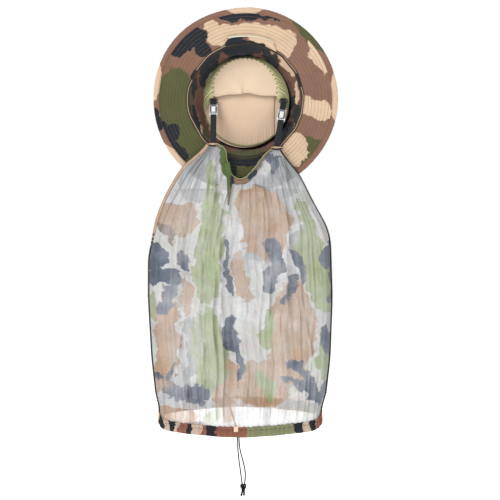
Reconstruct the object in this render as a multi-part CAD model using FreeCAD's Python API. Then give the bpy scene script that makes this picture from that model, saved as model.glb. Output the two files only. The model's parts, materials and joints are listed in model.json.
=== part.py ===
import FreeCAD, Part
import math
import os

# Camouflage bush hat with a sheer head net, in millimetres.
# The hat's opening looks along -Y, its crown points along +Y, and the net hangs down along -Z.
# X is to the right and Z is up. The origin is the centre of the head opening.

Vec = FreeCAD.Vector
X_AXIS = Vec(1, 0, 0)
Y_AXIS = Vec(0, 1, 0)
Z_AXIS = Vec(0, 0, 1)
FAR = 400.0                 # larger than anything that is cut

# ---- Driving dimensions ----

CLOTH = 1.2                 # one layer of hat cloth, with its seam allowance
CLEAR = 0.3                 # between pieces that move past each other
SNUG = 0.1                  # between pieces that are sewn or set together

HEAD_R = 97.0               # head opening, inside
BRIM_R = 156.7
BRIM_DROP = 8.0             # the outer edge lies this far in front of the head opening
BRIM_CLOTH = 0.9
INTERLINING = 1.2
BINDING_WIDTH = 10.0
BINDING_CLOTH = 0.8

CROWN_H = 86.0
CROWN_TOP_R = 72.0
CROWN_DOME = 4.0
PIPING_R = 1.3
SWEATBAND_W = 23.0
SWEATBAND_T = 1.6
FOLIAGE_BAND_W = 20.0
FOLIAGE_BAND_T = 1.5

EYELET_HOLE_R = 4.2
EYELET_FLANGE_R = 7.2
EYELET_SHEET = 0.7
EYELET_Y = 32.5
EYELET_ANGLE = 27.0         # above and below the X axis, on both sides

LINING_Y = 52.0             # depth of the lining disc inside the crown
LINING_R = 78.2
LINING_X = -2.5
LINING_Z = 2.0
RING_R = 77.0               # centre line of the piping round the lining
POCKET_DEPTH = 10.0         # from the pocket panel to the panel behind it
POCKET_R = 56.0
POCKET_X = -1.0
POCKET_Z = 18.4
MOUTH_Z = 10.0              # free edge of the pocket panel
MOUTH_HEM = 4.0
SHIELD_HALF_W = 47.5
SHIELD_R = 75.3

WEBBING_W = 10.0
WEBBING_T = 1.5
ANCHOR_WIRE_R = 0.8
ANCHOR_RING_H = 5.4
ANCHOR_RING_HALF_W = 6.3
LOOP_R = 2.1
TAB_W = 9.0

# Where each strap hangs from, where it meets the veil, and how far down it the buckle sits.
STRAPS = {
    "left": (Vec(-55.4, 38, 0.5), Vec(-54.2, -12, -74), 17.5),
    "right": (Vec(65.8, 38, 0.5), Vec(53.2, -12, -80), 28.5),
}

BUCKLE_HALF_W = 7.2
BUCKLE_HALF_H = 12.0
BUCKLE_RAIL = 1.2
BUCKLE_BAR = 2.0
BUCKLE_BACK_Y = 1.0         # front face of the buckle's back frame, behind the webbing
LEVER_Y = -2.8              # front face of the lever, in front of the webbing
LEVER_TOP = 10.0
LEVER_FOOT = -7.6
PIN_R = 0.9
PIN_Y = -2.0
PIN_Z = -9.8
KNUCKLE_R = 1.7
FOLD_FOOT = 8.2             # lowest point of the upper webbing's fold, above the buckle's centre
FOLD_BACK = 3.9
FOLD_TOP = 19.0
TAIL_TOP = 7.4              # end of the lower webbing inside the buckle

NET = 1.2                   # the net stands for its folds, so it is thicker than one layer
NET_CURVE = 2.6             # how square the bag's cross-section is: 2 is an ellipse
SEAM_R = 1.7

# The bag's cross-section at each height: z, left side, right side, front depth, back depth, side y.
BAG = [
    (-68, -62, 56, 3, 1, -12),
    (-82, -71, 64, 4, 1, -12),
    (-94, -80, 73, 6, 1, -12),
    (-112, -101, 82, 9, 1, -12),
    (-136, -117, 96, 12, 1, -12),
    (-156, -128, 106, 15, 1, -12),
    (-178, -139, 117, 19, 3, -12),
    (-213, -151, 137, 25, 9, -13),
    (-236, -156, 143, 29, 13, -13),
    (-265, -163, 144, 32, 18, -14),
    (-340, -163, 146, 36, 26, -16),
    (-437, -157, 142, 34, 29, -19),
    (-505, -149, 134, 31, 30, -21),
    (-572, -140, 124, 30, 30, -22),
]

# The V of the neck, from the left tie to the right one: x, z.
NECK = [(-45, -76), (-34, -84), (-29, -104), (-22, -127), (-11, -136),
        (9, -121), (24, -100), (36, -87), (44, -83)]
NECK_EDGING = 3.5
EDGING_PROUD = 0.6
BACK_TOP_Z = -153.0         # upper edge of the back panel
BACK_EDGING = 4.0

TIE_HALF_W = 7.5
TIE_H = 2.6
TIE_DROP = 3.0              # from the end of a strap to the top of its tie

HEM_X = -8.5
HEM_Y = -22.0
HEM_HALF_W = 137.5
HEM_HALF_D = 30.0
HEM_END_R = 22.0
HEM_FRONT_Z = -566.0        # lowest point of the hem, at the front
HEM_RISE = 43.0             # the back of the hem hangs this much higher than the front
HEM_H = 18.0
HEM_T = 5.0
CHANNEL_R = 1.5
CHANNEL_H = 6.0             # above the hem's lower edge

CORD_D = 2.2
EXIT_HALF_W = 2.9
EXIT_HALF_D = 1.7
EXIT_X = -12.15

LEFT_STRAND = [(-13.4, -49.5, -560), (-13.0, -49.6, -575), (-11.9, -50.0, -590),
               (-10.4, -50.3, -605), (-8.0, -50.1, -621), (-5.2, -49.6, -643)]
RIGHT_STRAND = [(-10.9, -49.5, -560), (-10.2, -49.3, -574), (-8.6, -49.0, -588),
                (-4.8, -48.8, -601), (-1.2, -49.0, -615), (0.6, -49.4, -629), (-1.3, -49.8, -643)]
TAILS = [[(-4.9, -50.6, -653), (-5.7, -50.9, -658), (-6.9, -50.8, -662)],
         [(-2.2, -48.7, -653), (-1.9, -48.3, -658), (-2.6, -48.0, -662)]]
KNOT_CENTRE = Vec(-3.4, -49.6, -648.5)
KNOT_HALF = (5.2, 4.6, 8.0)

TAB_HALF_W = 4.0
TAB_X = -15.3
TAB_TOP_Z = -547.0
TAB_H = 9.0

# ---- General shapes ----


def closed(points):
    """A closed wire of straight lines through the points."""
    return Part.makePolygon(points + points[:1])


def lathe(profile):
    """Turn a closed outline of (radius, y) points round the Y axis."""
    face = Part.Face(closed([Vec(r, y, 0) for r, y in profile]))
    return face.revolve(Vec(0, 0, 0), Y_AXIS, 360)


def box(low, high):
    """The box between two corners."""
    size = Vec(*high) - Vec(*low)
    return Part.makeBox(size.x, size.y, size.z, Vec(*low))


def through(points):
    """A smooth edge through the points."""
    curve = Part.BSplineCurve()
    curve.interpolate(points)
    return curve.toShape()


def plate(edges, low_y, high_y):
    """The flat outline made by the edges, which lie at y 0, as a plate from low_y to high_y."""
    face = Part.Face(Part.Wire(edges))
    solid = face.extrude(Vec(0, high_y - low_y, 0))
    solid.translate(Vec(0, low_y, 0))
    return solid


def arc(start, middle, end):
    """The edge of a circle's arc through three (x, z) points at y 0."""
    return Part.Arc(*[Vec(x, 0, z) for x, z in (start, middle, end)]).toShape()


def line(start, end):
    """A straight edge between two (x, z) points at y 0."""
    return Part.makeLine(Vec(start[0], 0, start[1]), Vec(end[0], 0, end[1]))


def rod(start, end, radius):
    """A round bar between two points."""
    along = end - start
    return Part.makeCylinder(radius, along.Length, start, along)


def sweep(path, radius):
    """A round tube of the given radius along a tangent path."""
    first = path.OrderedEdges[0]
    start = first.valueAt(first.FirstParameter)
    ahead = first.tangentAt(first.FirstParameter)
    ring = Part.Wire(Part.makeCircle(radius, start, ahead))
    return path.makePipeShell([ring], True, False)


# ---- Hat ----


def brim_y(radius):
    """The brim's underside, which slopes forward to its outer edge."""
    return -BRIM_DROP * (radius - HEAD_R) / (BRIM_R - HEAD_R)


def brim_layer(inner, outer, near, far):
    """One layer of the brim, near and far being distances behind its underside."""
    return lathe([(inner, brim_y(inner) + near), (outer, brim_y(outer) + near),
                  (outer, brim_y(outer) + far), (inner, brim_y(inner) + far)])


def wall_r(y):
    """Inner radius of the crown's side wall at a depth y."""
    return HEAD_R - (HEAD_R - CROWN_TOP_R) * y / CROWN_H


def wall_band(low, high, near, far):
    """A tapered band round the crown, near and far being distances outside the wall's inner face."""
    return lathe([(wall_r(low) + near, low), (wall_r(high) + near, high),
                  (wall_r(high) + far, high), (wall_r(low) + far, low)])


def make_brim():
    """The brim's two cloths, the stiff layer between them, and the tape round the edge."""
    inner = HEAD_R + CLOTH
    outer = BRIM_R - BINDING_CLOTH
    total = 2 * BRIM_CLOTH + INTERLINING
    upper = total - BRIM_CLOTH
    layers = brim_layer(inner, outer, 0, total)
    tape = brim_layer(BRIM_R - BINDING_WIDTH, BRIM_R, -BINDING_CLOTH, total + BINDING_CLOTH)
    return {
        "brim_underside_cloth": brim_layer(inner, outer, 0, BRIM_CLOTH),
        "brim_interlining": brim_layer(inner, outer, BRIM_CLOTH, upper),
        "brim_upper_cloth": brim_layer(inner, outer, upper, total),
        "brim_edge_binding": tape.cut(layers),
    }


def eyelet_seat(angle):
    """Centre of a vent in the wall's middle, and the direction straight out of the wall."""
    taper = math.atan2(HEAD_R - CROWN_TOP_R, CROWN_H)
    radial = Vec(math.cos(angle), 0, math.sin(angle))
    outward = radial * math.cos(taper) + Y_AXIS * math.sin(taper)
    return radial * (wall_r(EYELET_Y) + CLOTH / 2) + Y_AXIS * EYELET_Y, outward


def make_eyelet(centre, outward):
    """A spool-shaped metal vent: a barrel with a flange on each side of the wall."""
    inside = -CLOTH / 2 - 0.4
    outside = CLOTH / 2 + SNUG
    barrel_r = EYELET_HOLE_R + EYELET_SHEET
    foot = centre + outward * (inside - EYELET_SHEET)
    length = outside - inside + 2 * EYELET_SHEET
    spool = Part.makeCylinder(barrel_r, length, foot, outward)
    for place in (foot, centre + outward * outside):
        spool = spool.fuse(Part.makeCylinder(EYELET_FLANGE_R, EYELET_SHEET, place, outward))
    return spool.cut(Part.makeCylinder(EYELET_HOLE_R, length, foot, outward))


def make_crown():
    """The crown's wall with its vents, its top, and what is sewn to them."""
    wall = wall_band(0, CROWN_H, 0, CLOTH)
    eyelets = []
    for degrees in (EYELET_ANGLE, -EYELET_ANGLE, 180 - EYELET_ANGLE, 180 + EYELET_ANGLE):
        centre, outward = eyelet_seat(math.radians(degrees))
        hole_r = EYELET_HOLE_R + EYELET_SHEET + SNUG
        wall = wall.cut(Part.makeCylinder(hole_r, 8, centre - outward * 4, outward))
        eyelets.append(make_eyelet(centre, outward))
    edge = CROWN_TOP_R + CLOTH
    top = lathe([(0, CROWN_H + CROWN_DOME), (0.6 * edge, CROWN_H + 0.8 * CROWN_DOME),
                 (edge, CROWN_H), (edge, CROWN_H + CLOTH),
                 (0.6 * edge, CROWN_H + 0.8 * CROWN_DOME + CLOTH),
                 (0, CROWN_H + CROWN_DOME + CLOTH)])
    piping = Part.makeTorus(edge + PIPING_R + SNUG, PIPING_R, Vec(0, CROWN_H, 0), Y_AXIS)
    band_foot = 2 * BRIM_CLOTH + INTERLINING + CLEAR
    return {
        "crown_side": wall,
        "crown_top": top,
        "crown_seam_piping": piping,
        "sweatband": wall_band(1.0, 1.0 + SWEATBAND_W, -SNUG - SWEATBAND_T, -SNUG),
        "foliage_band": wall_band(band_foot, band_foot + FOLIAGE_BAND_W,
                                  CLOTH + CLEAR, CLOTH + CLEAR + FOLIAGE_BAND_T),
        "vent_eyelets": Part.makeCompound(eyelets),
    }


def lining_circle(radius, y):
    """A circle about the lining's own centre."""
    return Part.Wire(Part.makeCircle(radius, Vec(LINING_X, y, LINING_Z), Y_AXIS))


def pocket_circle(radius, y):
    """A circle about the pocket panel's own centre."""
    return Part.Wire(Part.makeCircle(radius, Vec(POCKET_X, y, POCKET_Z), Y_AXIS))


def make_lining():
    """The lining disc, and the pocket in it that the net is stowed in."""
    lining = Part.Face(lining_circle(LINING_R, LINING_Y)).extrude(Y_AXIS)
    ring = Part.makeTorus(RING_R, PIPING_R,
                          Vec(LINING_X, LINING_Y - PIPING_R - SNUG, LINING_Z), Y_AXIS)

    corner_z = -math.sqrt(SHIELD_R ** 2 - SHIELD_HALF_W ** 2)
    left, right = -SHIELD_HALF_W, SHIELD_HALF_W
    mouth_z, top_z = MOUTH_Z - LINING_Z, POCKET_Z + POCKET_R - 4 - LINING_Z
    shield = plate([line((left, mouth_z), (left, corner_z)),
                    arc((left, corner_z), (0, -SHIELD_R), (right, corner_z)),
                    line((right, corner_z), (right, mouth_z)),
                    arc((right, mouth_z), (0, top_z), (left, mouth_z))],
                   LINING_Y - SNUG - CLOTH, LINING_Y - SNUG)
    shield.translate(Vec(LINING_X, 0, LINING_Z))

    panel_y = LINING_Y - SNUG - CLOTH - POCKET_DEPTH
    keep = box((-FAR, -FAR, MOUTH_Z), (FAR, FAR, FAR))
    panel = Part.Face(pocket_circle(POCKET_R, panel_y)).extrude(Y_AXIS * CLOTH).common(keep)
    hem_half_w = POCKET_R - 3
    mouth = box((POCKET_X - hem_half_w, panel_y - CLOTH - SNUG, MOUTH_Z),
                (POCKET_X + hem_half_w, panel_y - SNUG, MOUTH_Z + MOUTH_HEM))

    front, back = panel_y, LINING_Y - SNUG
    outside = Part.makeLoft([pocket_circle(POCKET_R + 2 * CLOTH, front),
                             lining_circle(RING_R - PIPING_R - SNUG, back)], True, True)
    inside = Part.makeLoft([pocket_circle(POCKET_R + SNUG, front),
                            lining_circle(RING_R - PIPING_R - SNUG - 2 * CLOTH, back)], True, True)
    return {
        "crown_lining": lining,
        "lining_piping": ring,
        "pocket_back_panel": shield,
        "pocket_panel": panel,
        "pocket_mouth_hem": mouth,
        "pocket_gusset": outside.cut(inside).common(keep),
    }


# ---- Straps and buckles, built along a strap's own axes: x across, y behind, z up it ----


def strap_matrix(top, bottom, down=0.0):
    """From a strap's own axes to the hat's, with the origin down the strap from its top."""
    up = (top - bottom).normalize()
    behind = up.cross(X_AXIS).normalize()
    across = behind.cross(up)
    place = top - up * down
    return FreeCAD.Matrix(across.x, behind.x, up.x, place.x,
                          across.y, behind.y, up.y, place.y,
                          across.z, behind.z, up.z, place.z,
                          0, 0, 0, 1)


def make_anchor(top):
    """The wire ring that a strap hangs on, and the sewn tab that holds the ring."""
    half_w = ANCHOR_RING_HALF_W
    rise = Z_AXIS * ANCHOR_RING_H
    corners = [top + X_AXIS * side + lift for side, lift in
               ((-half_w, Vec()), (half_w, Vec()), (half_w, rise), (-half_w, rise))]
    ring = Part.makeSphere(ANCHOR_WIRE_R, corners[0])
    for start, end in zip(corners, corners[1:] + corners[:1]):
        ring = ring.fuse([rod(start, end, ANCHOR_WIRE_R), Part.makeSphere(ANCHOR_WIRE_R, end)])

    held = top + rise
    side = X_AXIS * (TAB_W / 2)
    loop = rod(held - side, held + side, LOOP_R)
    tail = box((held.x - TAB_W / 2, held.y, held.z - CLOTH),
               (held.x + TAB_W / 2, LINING_Y - SNUG, held.z + CLOTH))
    hole = rod(held - side * 2, held + side * 2, ANCHOR_WIRE_R + SNUG)
    return ring.removeSplitter(), loop.fuse(tail).cut(hole).removeSplitter()


def make_upper_strap(top, at_top, buckle_down):
    """Webbing from its loop on the anchor ring to its fold round the buckle's upper bar."""
    half_t = WEBBING_T / 2
    fold = FOLD_FOOT - buckle_down
    back_top = FOLD_TOP - buckle_down
    inner = fold + WEBBING_T
    outline = [(-half_t, 0), (-half_t, fold), (FOLD_BACK, fold), (FOLD_BACK, back_top),
               (FOLD_BACK - WEBBING_T, back_top), (FOLD_BACK - WEBBING_T, inner),
               (half_t, inner), (half_t, 0)]
    face = Part.Face(closed([Vec(-WEBBING_W / 2, y, z) for y, z in outline]))
    webbing = face.extrude(X_AXIS * WEBBING_W).transformed(at_top)
    side = X_AXIS * (WEBBING_W / 2)
    loop = rod(top - side, top + side, LOOP_R)
    hole = rod(top - side * 2, top + side * 2, ANCHOR_WIRE_R + SNUG)
    return webbing.fuse(loop).cut(hole).removeSplitter()


def make_lower_strap(buckle_down, length):
    """Webbing from its end inside the buckle down to the veil, from the buckle's centre."""
    half_w, half_t = WEBBING_W / 2, WEBBING_T / 2
    return box((-half_w, -half_t, buckle_down - length + 1.0), (half_w, half_t, TAIL_TOP))


def make_buckle_frame():
    """The buckle's back frame, with a lug on each side for the lever's pin."""
    half_w, half_h = BUCKLE_HALF_W, BUCKLE_HALF_H
    back = BUCKLE_BACK_Y + 1.2
    frame = box((-half_w, BUCKLE_BACK_Y, -half_h), (half_w, back, half_h))
    window = box((BUCKLE_RAIL - half_w, 0, BUCKLE_BAR - half_h),
                 (half_w - BUCKLE_RAIL, FAR, half_h - BUCKLE_BAR))
    frame = frame.cut(window)
    for side in (-1, 1):
        low, high = sorted((side * (half_w - 0.8), side * half_w))
        lug = box((low, PIN_Y - 1.2, PIN_Z - 1.6), (high, back, PIN_Z + 1.6))
        frame = frame.fuse(lug)
    hole = rod(Vec(-FAR, PIN_Y, PIN_Z), Vec(FAR, PIN_Y, PIN_Z), PIN_R)
    return frame.cut(hole).removeSplitter()


def make_buckle_lever():
    """The cam lever: a flared plate with a tongue cut in it, and two knuckles on the pin."""
    half_w = BUCKLE_HALF_W
    outline = [(-half_w, LEVER_TOP), (-half_w, LEVER_TOP - 1.8), (-6.6, LEVER_TOP - 3),
               (-6.2, LEVER_FOOT), (6.2, LEVER_FOOT), (6.6, LEVER_TOP - 3),
               (half_w, LEVER_TOP - 1.8), (half_w, LEVER_TOP)]
    face = Part.Face(closed([Vec(x, LEVER_Y, z) for x, z in outline]))
    lever = face.extrude(Y_AXIS * BUCKLE_RAIL)
    slits = [((-4.5, -6.0), (-3.5, 4.0)), ((3.5, -6.0), (4.5, 4.0)), ((-4.5, -6.0), (4.5, -5.1))]
    for (x0, z0), (x1, z1) in slits:
        lever = lever.cut(box((x0, -FAR, z0), (x1, FAR, z1)))
    for side in (-1, 1):
        low, high = sorted((side * 5.2, side * 6.1))
        knuckle = rod(Vec(low, PIN_Y, PIN_Z), Vec(high, PIN_Y, PIN_Z), KNUCKLE_R)
        arm = box((low, LEVER_Y, PIN_Z), (high, LEVER_Y + BUCKLE_RAIL, LEVER_FOOT + 1))
        lever = lever.fuse([knuckle, arm])
    hole = rod(Vec(-FAR, PIN_Y, PIN_Z), Vec(FAR, PIN_Y, PIN_Z), PIN_R + 0.05)
    return lever.cut(hole).removeSplitter()


def make_buckle_pin():
    """The pin that the lever turns on."""
    end = BUCKLE_HALF_W + 0.4
    return rod(Vec(-end, PIN_Y, PIN_Z), Vec(end, PIN_Y, PIN_Z), PIN_R)


def make_straps():
    """Both straps with their anchors, buckles and the ties where they meet the veil."""
    pieces = {}
    for side, (top, bottom, buckle_down) in STRAPS.items():
        at_top = strap_matrix(top, bottom)
        at_buckle = strap_matrix(top, bottom, buckle_down)
        length = (top - bottom).Length
        ring, tab = make_anchor(top)
        pieces[side + "_anchor_ring"] = ring
        pieces[side + "_anchor_tab"] = tab
        pieces[side + "_upper_strap"] = make_upper_strap(top, at_top, buckle_down)
        own = {
            "_lower_strap": make_lower_strap(buckle_down, length),
            "_buckle_frame": make_buckle_frame(),
            "_buckle_lever": make_buckle_lever(),
            "_buckle_pin": make_buckle_pin(),
        }
        for name, shape in own.items():
            pieces[side + name] = shape.transformed(at_buckle)
        face_y = min(bag_front_y(bottom.x + shift, bottom.z - TIE_DROP - TIE_H)
                     for shift in (-TIE_HALF_W, 0, TIE_HALF_W))
        tie = box((bottom.x - TIE_HALF_W, face_y - 2.4, bottom.z - TIE_DROP - TIE_H),
                  (bottom.x + TIE_HALF_W, face_y - CLEAR, bottom.z - TIE_DROP))
        pieces[side + "_tie"] = tie
    return pieces


# ---- Veil ----


def bag_at(z):
    """The bag's cross-section at a height, read between the rows of BAG."""
    for above, below in zip(BAG, BAG[1:]):
        if z >= below[0]:
            share = (above[0] - z) / (above[0] - below[0])
            return [a + (b - a) * share for a, b in zip(above, below)]
    return list(BAG[-1])


def bag_front_y(x, z):
    """Where the outside of the front panel is at a place (x, z)."""
    _, left, right, front, _, side_y = bag_at(z)
    across = abs(2 * x - left - right) / (right - left)
    return side_y - front * max(0.0, 1 - across ** NET_CURVE) ** (1 / NET_CURVE)


def half_oval(row, sign, inset, shrink):
    """One half of a cross-section: sign -1 is the front, 1 the back; shrink moves it inwards."""
    z, left, right, front, back, side_y = row
    depth = (front if sign < 0 else back) - shrink
    middle = (left + right) / 2
    half_w = (right - left) / 2 - inset - shrink
    points = []
    for step in range(13):
        across = -math.cos(math.pi * step / 12)
        bulge = max(0.0, 1 - abs(across) ** NET_CURVE) ** (1 / NET_CURVE)
        points.append(Vec(middle + half_w * across, side_y + sign * depth * bulge, z))
    return points


def net_panel(sign, proud=0.0):
    """The front or back half of the bag as a thin shell, its full height, with nothing cut."""
    sections = []
    for row in BAG:
        thin = NET if row[4 if sign > 0 else 3] > 2 * NET else 0.5
        outer = half_oval(row, sign, SEAM_R + SNUG - proud, -proud)
        inner = half_oval(row, sign, SEAM_R + SNUG - proud, thin + proud)
        sections.append(Part.Wire([through(outer), Part.makeLine(outer[-1], inner[-1]),
                                   through(inner), Part.makeLine(inner[0], outer[0])]))
    return Part.makeLoft(sections, True, True)


def offset_points(points, distance):
    """The points moved sideways, away from the inside of the curve that they follow."""
    moved = []
    for index, (x, z) in enumerate(points):
        before = points[max(index - 1, 0)]
        after = points[min(index + 1, len(points) - 1)]
        dx, dz = after[0] - before[0], after[1] - before[1]
        size = math.hypot(dx, dz)
        moved.append((x + distance * dz / size, z - distance * dx / size))
    return moved


def hem_z(y):
    """Height of the hem's lower edge, which rises towards the back."""
    return HEM_FRONT_Z + HEM_RISE * (y - HEM_Y + HEM_HALF_D) / (2 * HEM_HALF_D)


def above_hem():
    """The space above the hem casing."""
    low, high = hem_z(-FAR) + HEM_H + SNUG, hem_z(FAR) + HEM_H + SNUG
    outline = [Vec(-FAR, -FAR, low), Vec(-FAR, FAR, high), Vec(-FAR, FAR, 2 * FAR),
               Vec(-FAR, -FAR, 2 * FAR)]
    return Part.Face(closed(outline)).extrude(X_AXIS * 2 * FAR)


def below_neck(points):
    """The space under the neck line, with a level shoulder on each side."""
    left, right = points[0], points[-1]
    left_z = STRAPS["left"][1].z - TIE_DROP - 1
    right_z = STRAPS["right"][1].z - TIE_DROP - 1
    edges = [line((-FAR, left_z), (left[0], left_z)),
             line((left[0], left_z), left),
             through([Vec(x, 0, z) for x, z in points]),
             line(right, (right[0], right_z)),
             line((right[0], right_z), (FAR, right_z)),
             line((FAR, right_z), (FAR, -2 * FAR)),
             line((FAR, -2 * FAR), (-FAR, -2 * FAR)),
             line((-FAR, -2 * FAR), (-FAR, left_z))]
    return plate(edges, -FAR, FAR)


def make_side_seam(side):
    """The rolled seam that joins front and back, along one side of the bag."""
    rings = []
    for row in BAG[1:]:
        x = row[1] if side == "left" else row[2]
        rings.append(Part.Wire(Part.makeCircle(SEAM_R, Vec(x, row[5], row[0]), Z_AXIS)))
    return Part.makeLoft(rings, True, True).common(above_hem())


def make_net():
    """The two panels of the bag, their seams and their edgings."""
    keep = above_hem()
    lower_neck = offset_points(NECK, NECK_EDGING)
    front = net_panel(-1).common(below_neck(lower_neck)).common(keep)

    band = below_neck(NECK).cut(below_neck(lower_neck))
    limits = box((NECK[0][0] - 1, -FAR, -FAR), (NECK[-1][0] + 1, FAR, FAR))
    edging = net_panel(-1, EDGING_PROUD).common(band).common(limits)

    back = net_panel(1)
    top = BACK_TOP_Z - BACK_EDGING
    back_net = back.common(keep).common(box((-FAR, -FAR, -2 * FAR), (FAR, FAR, top)))
    back_edging = back.common(box((-FAR, -FAR, top), (FAR, FAR, BACK_TOP_Z)))
    return {
        "veil_front_panel": front,
        "veil_back_panel": back_net,
        "veil_neck_edging": edging,
        "veil_back_edging": back_edging,
        "veil_left_seam": make_side_seam("left"),
        "veil_right_seam": make_side_seam("right"),
    }


def hem_oval(inset, lift):
    """An oval of four arcs in the hem's sloping plane, inset from its outside."""
    slope = math.atan2(HEM_RISE, 2 * HEM_HALF_D)
    half_w = HEM_HALF_W - inset
    half_d = (HEM_HALF_D - inset) / math.cos(slope)
    end_r = HEM_END_R - inset
    reach = half_w - end_r
    long_r = (reach ** 2 + half_d ** 2 - end_r ** 2) / (2 * (half_d - end_r))
    turn = math.atan2(reach, long_r - half_d)
    centre = Vec(HEM_X, HEM_Y, hem_z(HEM_Y) + lift)
    back = Vec(0, math.cos(slope), math.sin(slope))

    def place(x, depth):
        return centre + X_AXIS * x + back * depth

    def on_long(angle, sign):
        return place(long_r * math.sin(angle), sign * (long_r * math.cos(angle) - long_r + half_d))

    edges = []
    for sign in (1, -1):
        edges.append(Part.Arc(on_long(-turn * sign, sign), on_long(0, sign),
                              on_long(turn * sign, sign)).toShape())
        end = place(sign * half_w, 0)
        edges.append(Part.Arc(on_long(turn * sign, sign), end,
                              on_long(turn * sign, -sign)).toShape())
    return Part.Wire(Part.__sortEdges__(edges))


def make_hem():
    """The hem casing with its channel, the drawcord inside it, and the tab over its join."""
    outside = Part.Face(hem_oval(0, 0)).extrude(Z_AXIS * HEM_H)
    inside = Part.Face(hem_oval(HEM_T, 0)).extrude(Z_AXIS * HEM_H)
    route = hem_oval(HEM_T / 2, CHANNEL_H)
    middle_y = HEM_Y - HEM_HALF_D + HEM_T / 2
    exit_hole = box((EXIT_X - EXIT_HALF_W, middle_y - EXIT_HALF_D, HEM_FRONT_Z - HEM_H),
                    (EXIT_X + EXIT_HALF_W, middle_y + EXIT_HALF_D, hem_z(middle_y) + CHANNEL_H))
    casing = outside.cut(inside).cut(sweep(route, CHANNEL_R)).cut(exit_hole)

    face_y = HEM_Y - HEM_HALF_D
    tab = box((TAB_X - TAB_HALF_W, face_y - CLOTH - SNUG, TAB_TOP_Z - TAB_H),
              (TAB_X + TAB_HALF_W, face_y - SNUG, TAB_TOP_Z))
    return {"hem_casing": casing, "hem_join_tab": tab, "drawcord_in_hem": sweep(route, CORD_D / 2)}


# ---- Drawcord ----


def cord_path(route):
    """Straight runs joined by tangent arcs, each as large as its two runs allow."""
    points = [Vec(*point) for point in route]
    edges = []
    radii = []
    at = points[0]
    for before, corner, after in zip(points, points[1:], points[2:]):
        arriving = (corner - before).normalize()
        leaving = (after - corner).normalize()
        half_turn = arriving.getAngle(leaving) / 2
        reach = 0.45 * min((corner - before).Length, (after - corner).Length)
        radii.append(reach / math.tan(half_turn))
        start, end = corner - arriving * reach, corner + leaving * reach
        inward = (leaving - arriving).normalize()
        middle = corner + inward * (radii[-1] / math.cos(half_turn) - radii[-1])
        edges.append(Part.makeLine(at, start))
        edges.append(Part.Arc(start, middle, end).toShape())
        at = end
    edges.append(Part.makeLine(at, points[-1]))
    return Part.Wire(edges), radii


def make_cord(name, route):
    """A tube along a route, with its bends and its volume printed."""
    path, radii = cord_path(route)
    tube = sweep(path, CORD_D / 2)
    expected = math.pi * (CORD_D / 2) ** 2 * path.Length
    print(name, "length", round(path.Length, 1), "radii", [round(r, 1) for r in radii],
          "volume", round(tube.Volume, 1), "expected", round(expected, 1))
    return tube


def make_drawcord():
    """The two free strands of the drawcord, their knot, and the tails below it."""
    knot = Part.makeSphere(1.0)
    stretch = FreeCAD.Matrix()
    stretch.scale(*KNOT_HALF)
    knot = knot.transformGeometry(stretch)
    knot.translate(KNOT_CENTRE)
    return {
        "drawcord_left_strand": make_cord("left strand", LEFT_STRAND),
        "drawcord_right_strand": make_cord("right strand", RIGHT_STRAND),
        "drawcord_knot": knot,
        "drawcord_tails": Part.makeCompound([make_cord("tail", route) for route in TAILS]),
    }


def main():
    os.makedirs("parts", exist_ok=True)
    pieces = {}
    for make in (make_brim, make_crown, make_lining, make_straps, make_net, make_hem, make_drawcord):
        pieces.update(make())
    for name, shape in pieces.items():
        sound = shape.isValid() and all(solid.isClosed() for solid in shape.Solids)
        print(name, len(shape.Solids), "solids", round(shape.Volume), "mm3",
              "sound" if sound else "NOT SOUND")
        shape.exportStep("parts/" + name + ".step")


main()
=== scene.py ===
import json
import math

import bmesh
import bpy
import numpy as np
from bpy.props import FloatProperty, FloatVectorProperty, IntProperty, PointerProperty
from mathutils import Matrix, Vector, noise
from mathutils.bvhtree import BVHTree


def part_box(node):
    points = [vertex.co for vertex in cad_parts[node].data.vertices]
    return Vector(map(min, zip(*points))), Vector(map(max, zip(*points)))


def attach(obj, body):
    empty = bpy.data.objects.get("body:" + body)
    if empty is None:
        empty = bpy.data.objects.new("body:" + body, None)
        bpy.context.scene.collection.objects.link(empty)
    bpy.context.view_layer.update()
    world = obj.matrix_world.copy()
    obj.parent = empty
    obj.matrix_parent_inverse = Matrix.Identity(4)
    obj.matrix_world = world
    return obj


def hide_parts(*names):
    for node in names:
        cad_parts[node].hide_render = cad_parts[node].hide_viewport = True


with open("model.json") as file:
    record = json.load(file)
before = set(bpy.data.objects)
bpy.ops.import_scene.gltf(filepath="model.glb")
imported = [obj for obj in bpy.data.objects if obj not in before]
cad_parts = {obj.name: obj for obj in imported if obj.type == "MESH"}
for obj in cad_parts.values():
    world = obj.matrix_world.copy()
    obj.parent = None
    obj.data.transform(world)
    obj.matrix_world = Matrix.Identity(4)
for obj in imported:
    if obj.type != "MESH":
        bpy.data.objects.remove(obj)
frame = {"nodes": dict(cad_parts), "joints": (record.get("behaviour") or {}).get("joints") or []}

bl_info = {
    "name": "Bush Hat with Head Net",
    "version": (1, 0, 0),
    "blender": (4, 5, 0),
    "location": "View3D > Sidebar > Head Net",
    "description": "Builds the visible pieces of a camouflage bush hat with a hanging head net",
    "category": "Add Mesh",
}

MM = 0.001
WIDE = 1000.0               # half size of a patch along a direction that it doesn't end in
X_AXIS = Vector((1, 0, 0))
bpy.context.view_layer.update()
JOINTS = {joint["name"]: joint for joint in frame["joints"]}
NODES = frame["nodes"]

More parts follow.
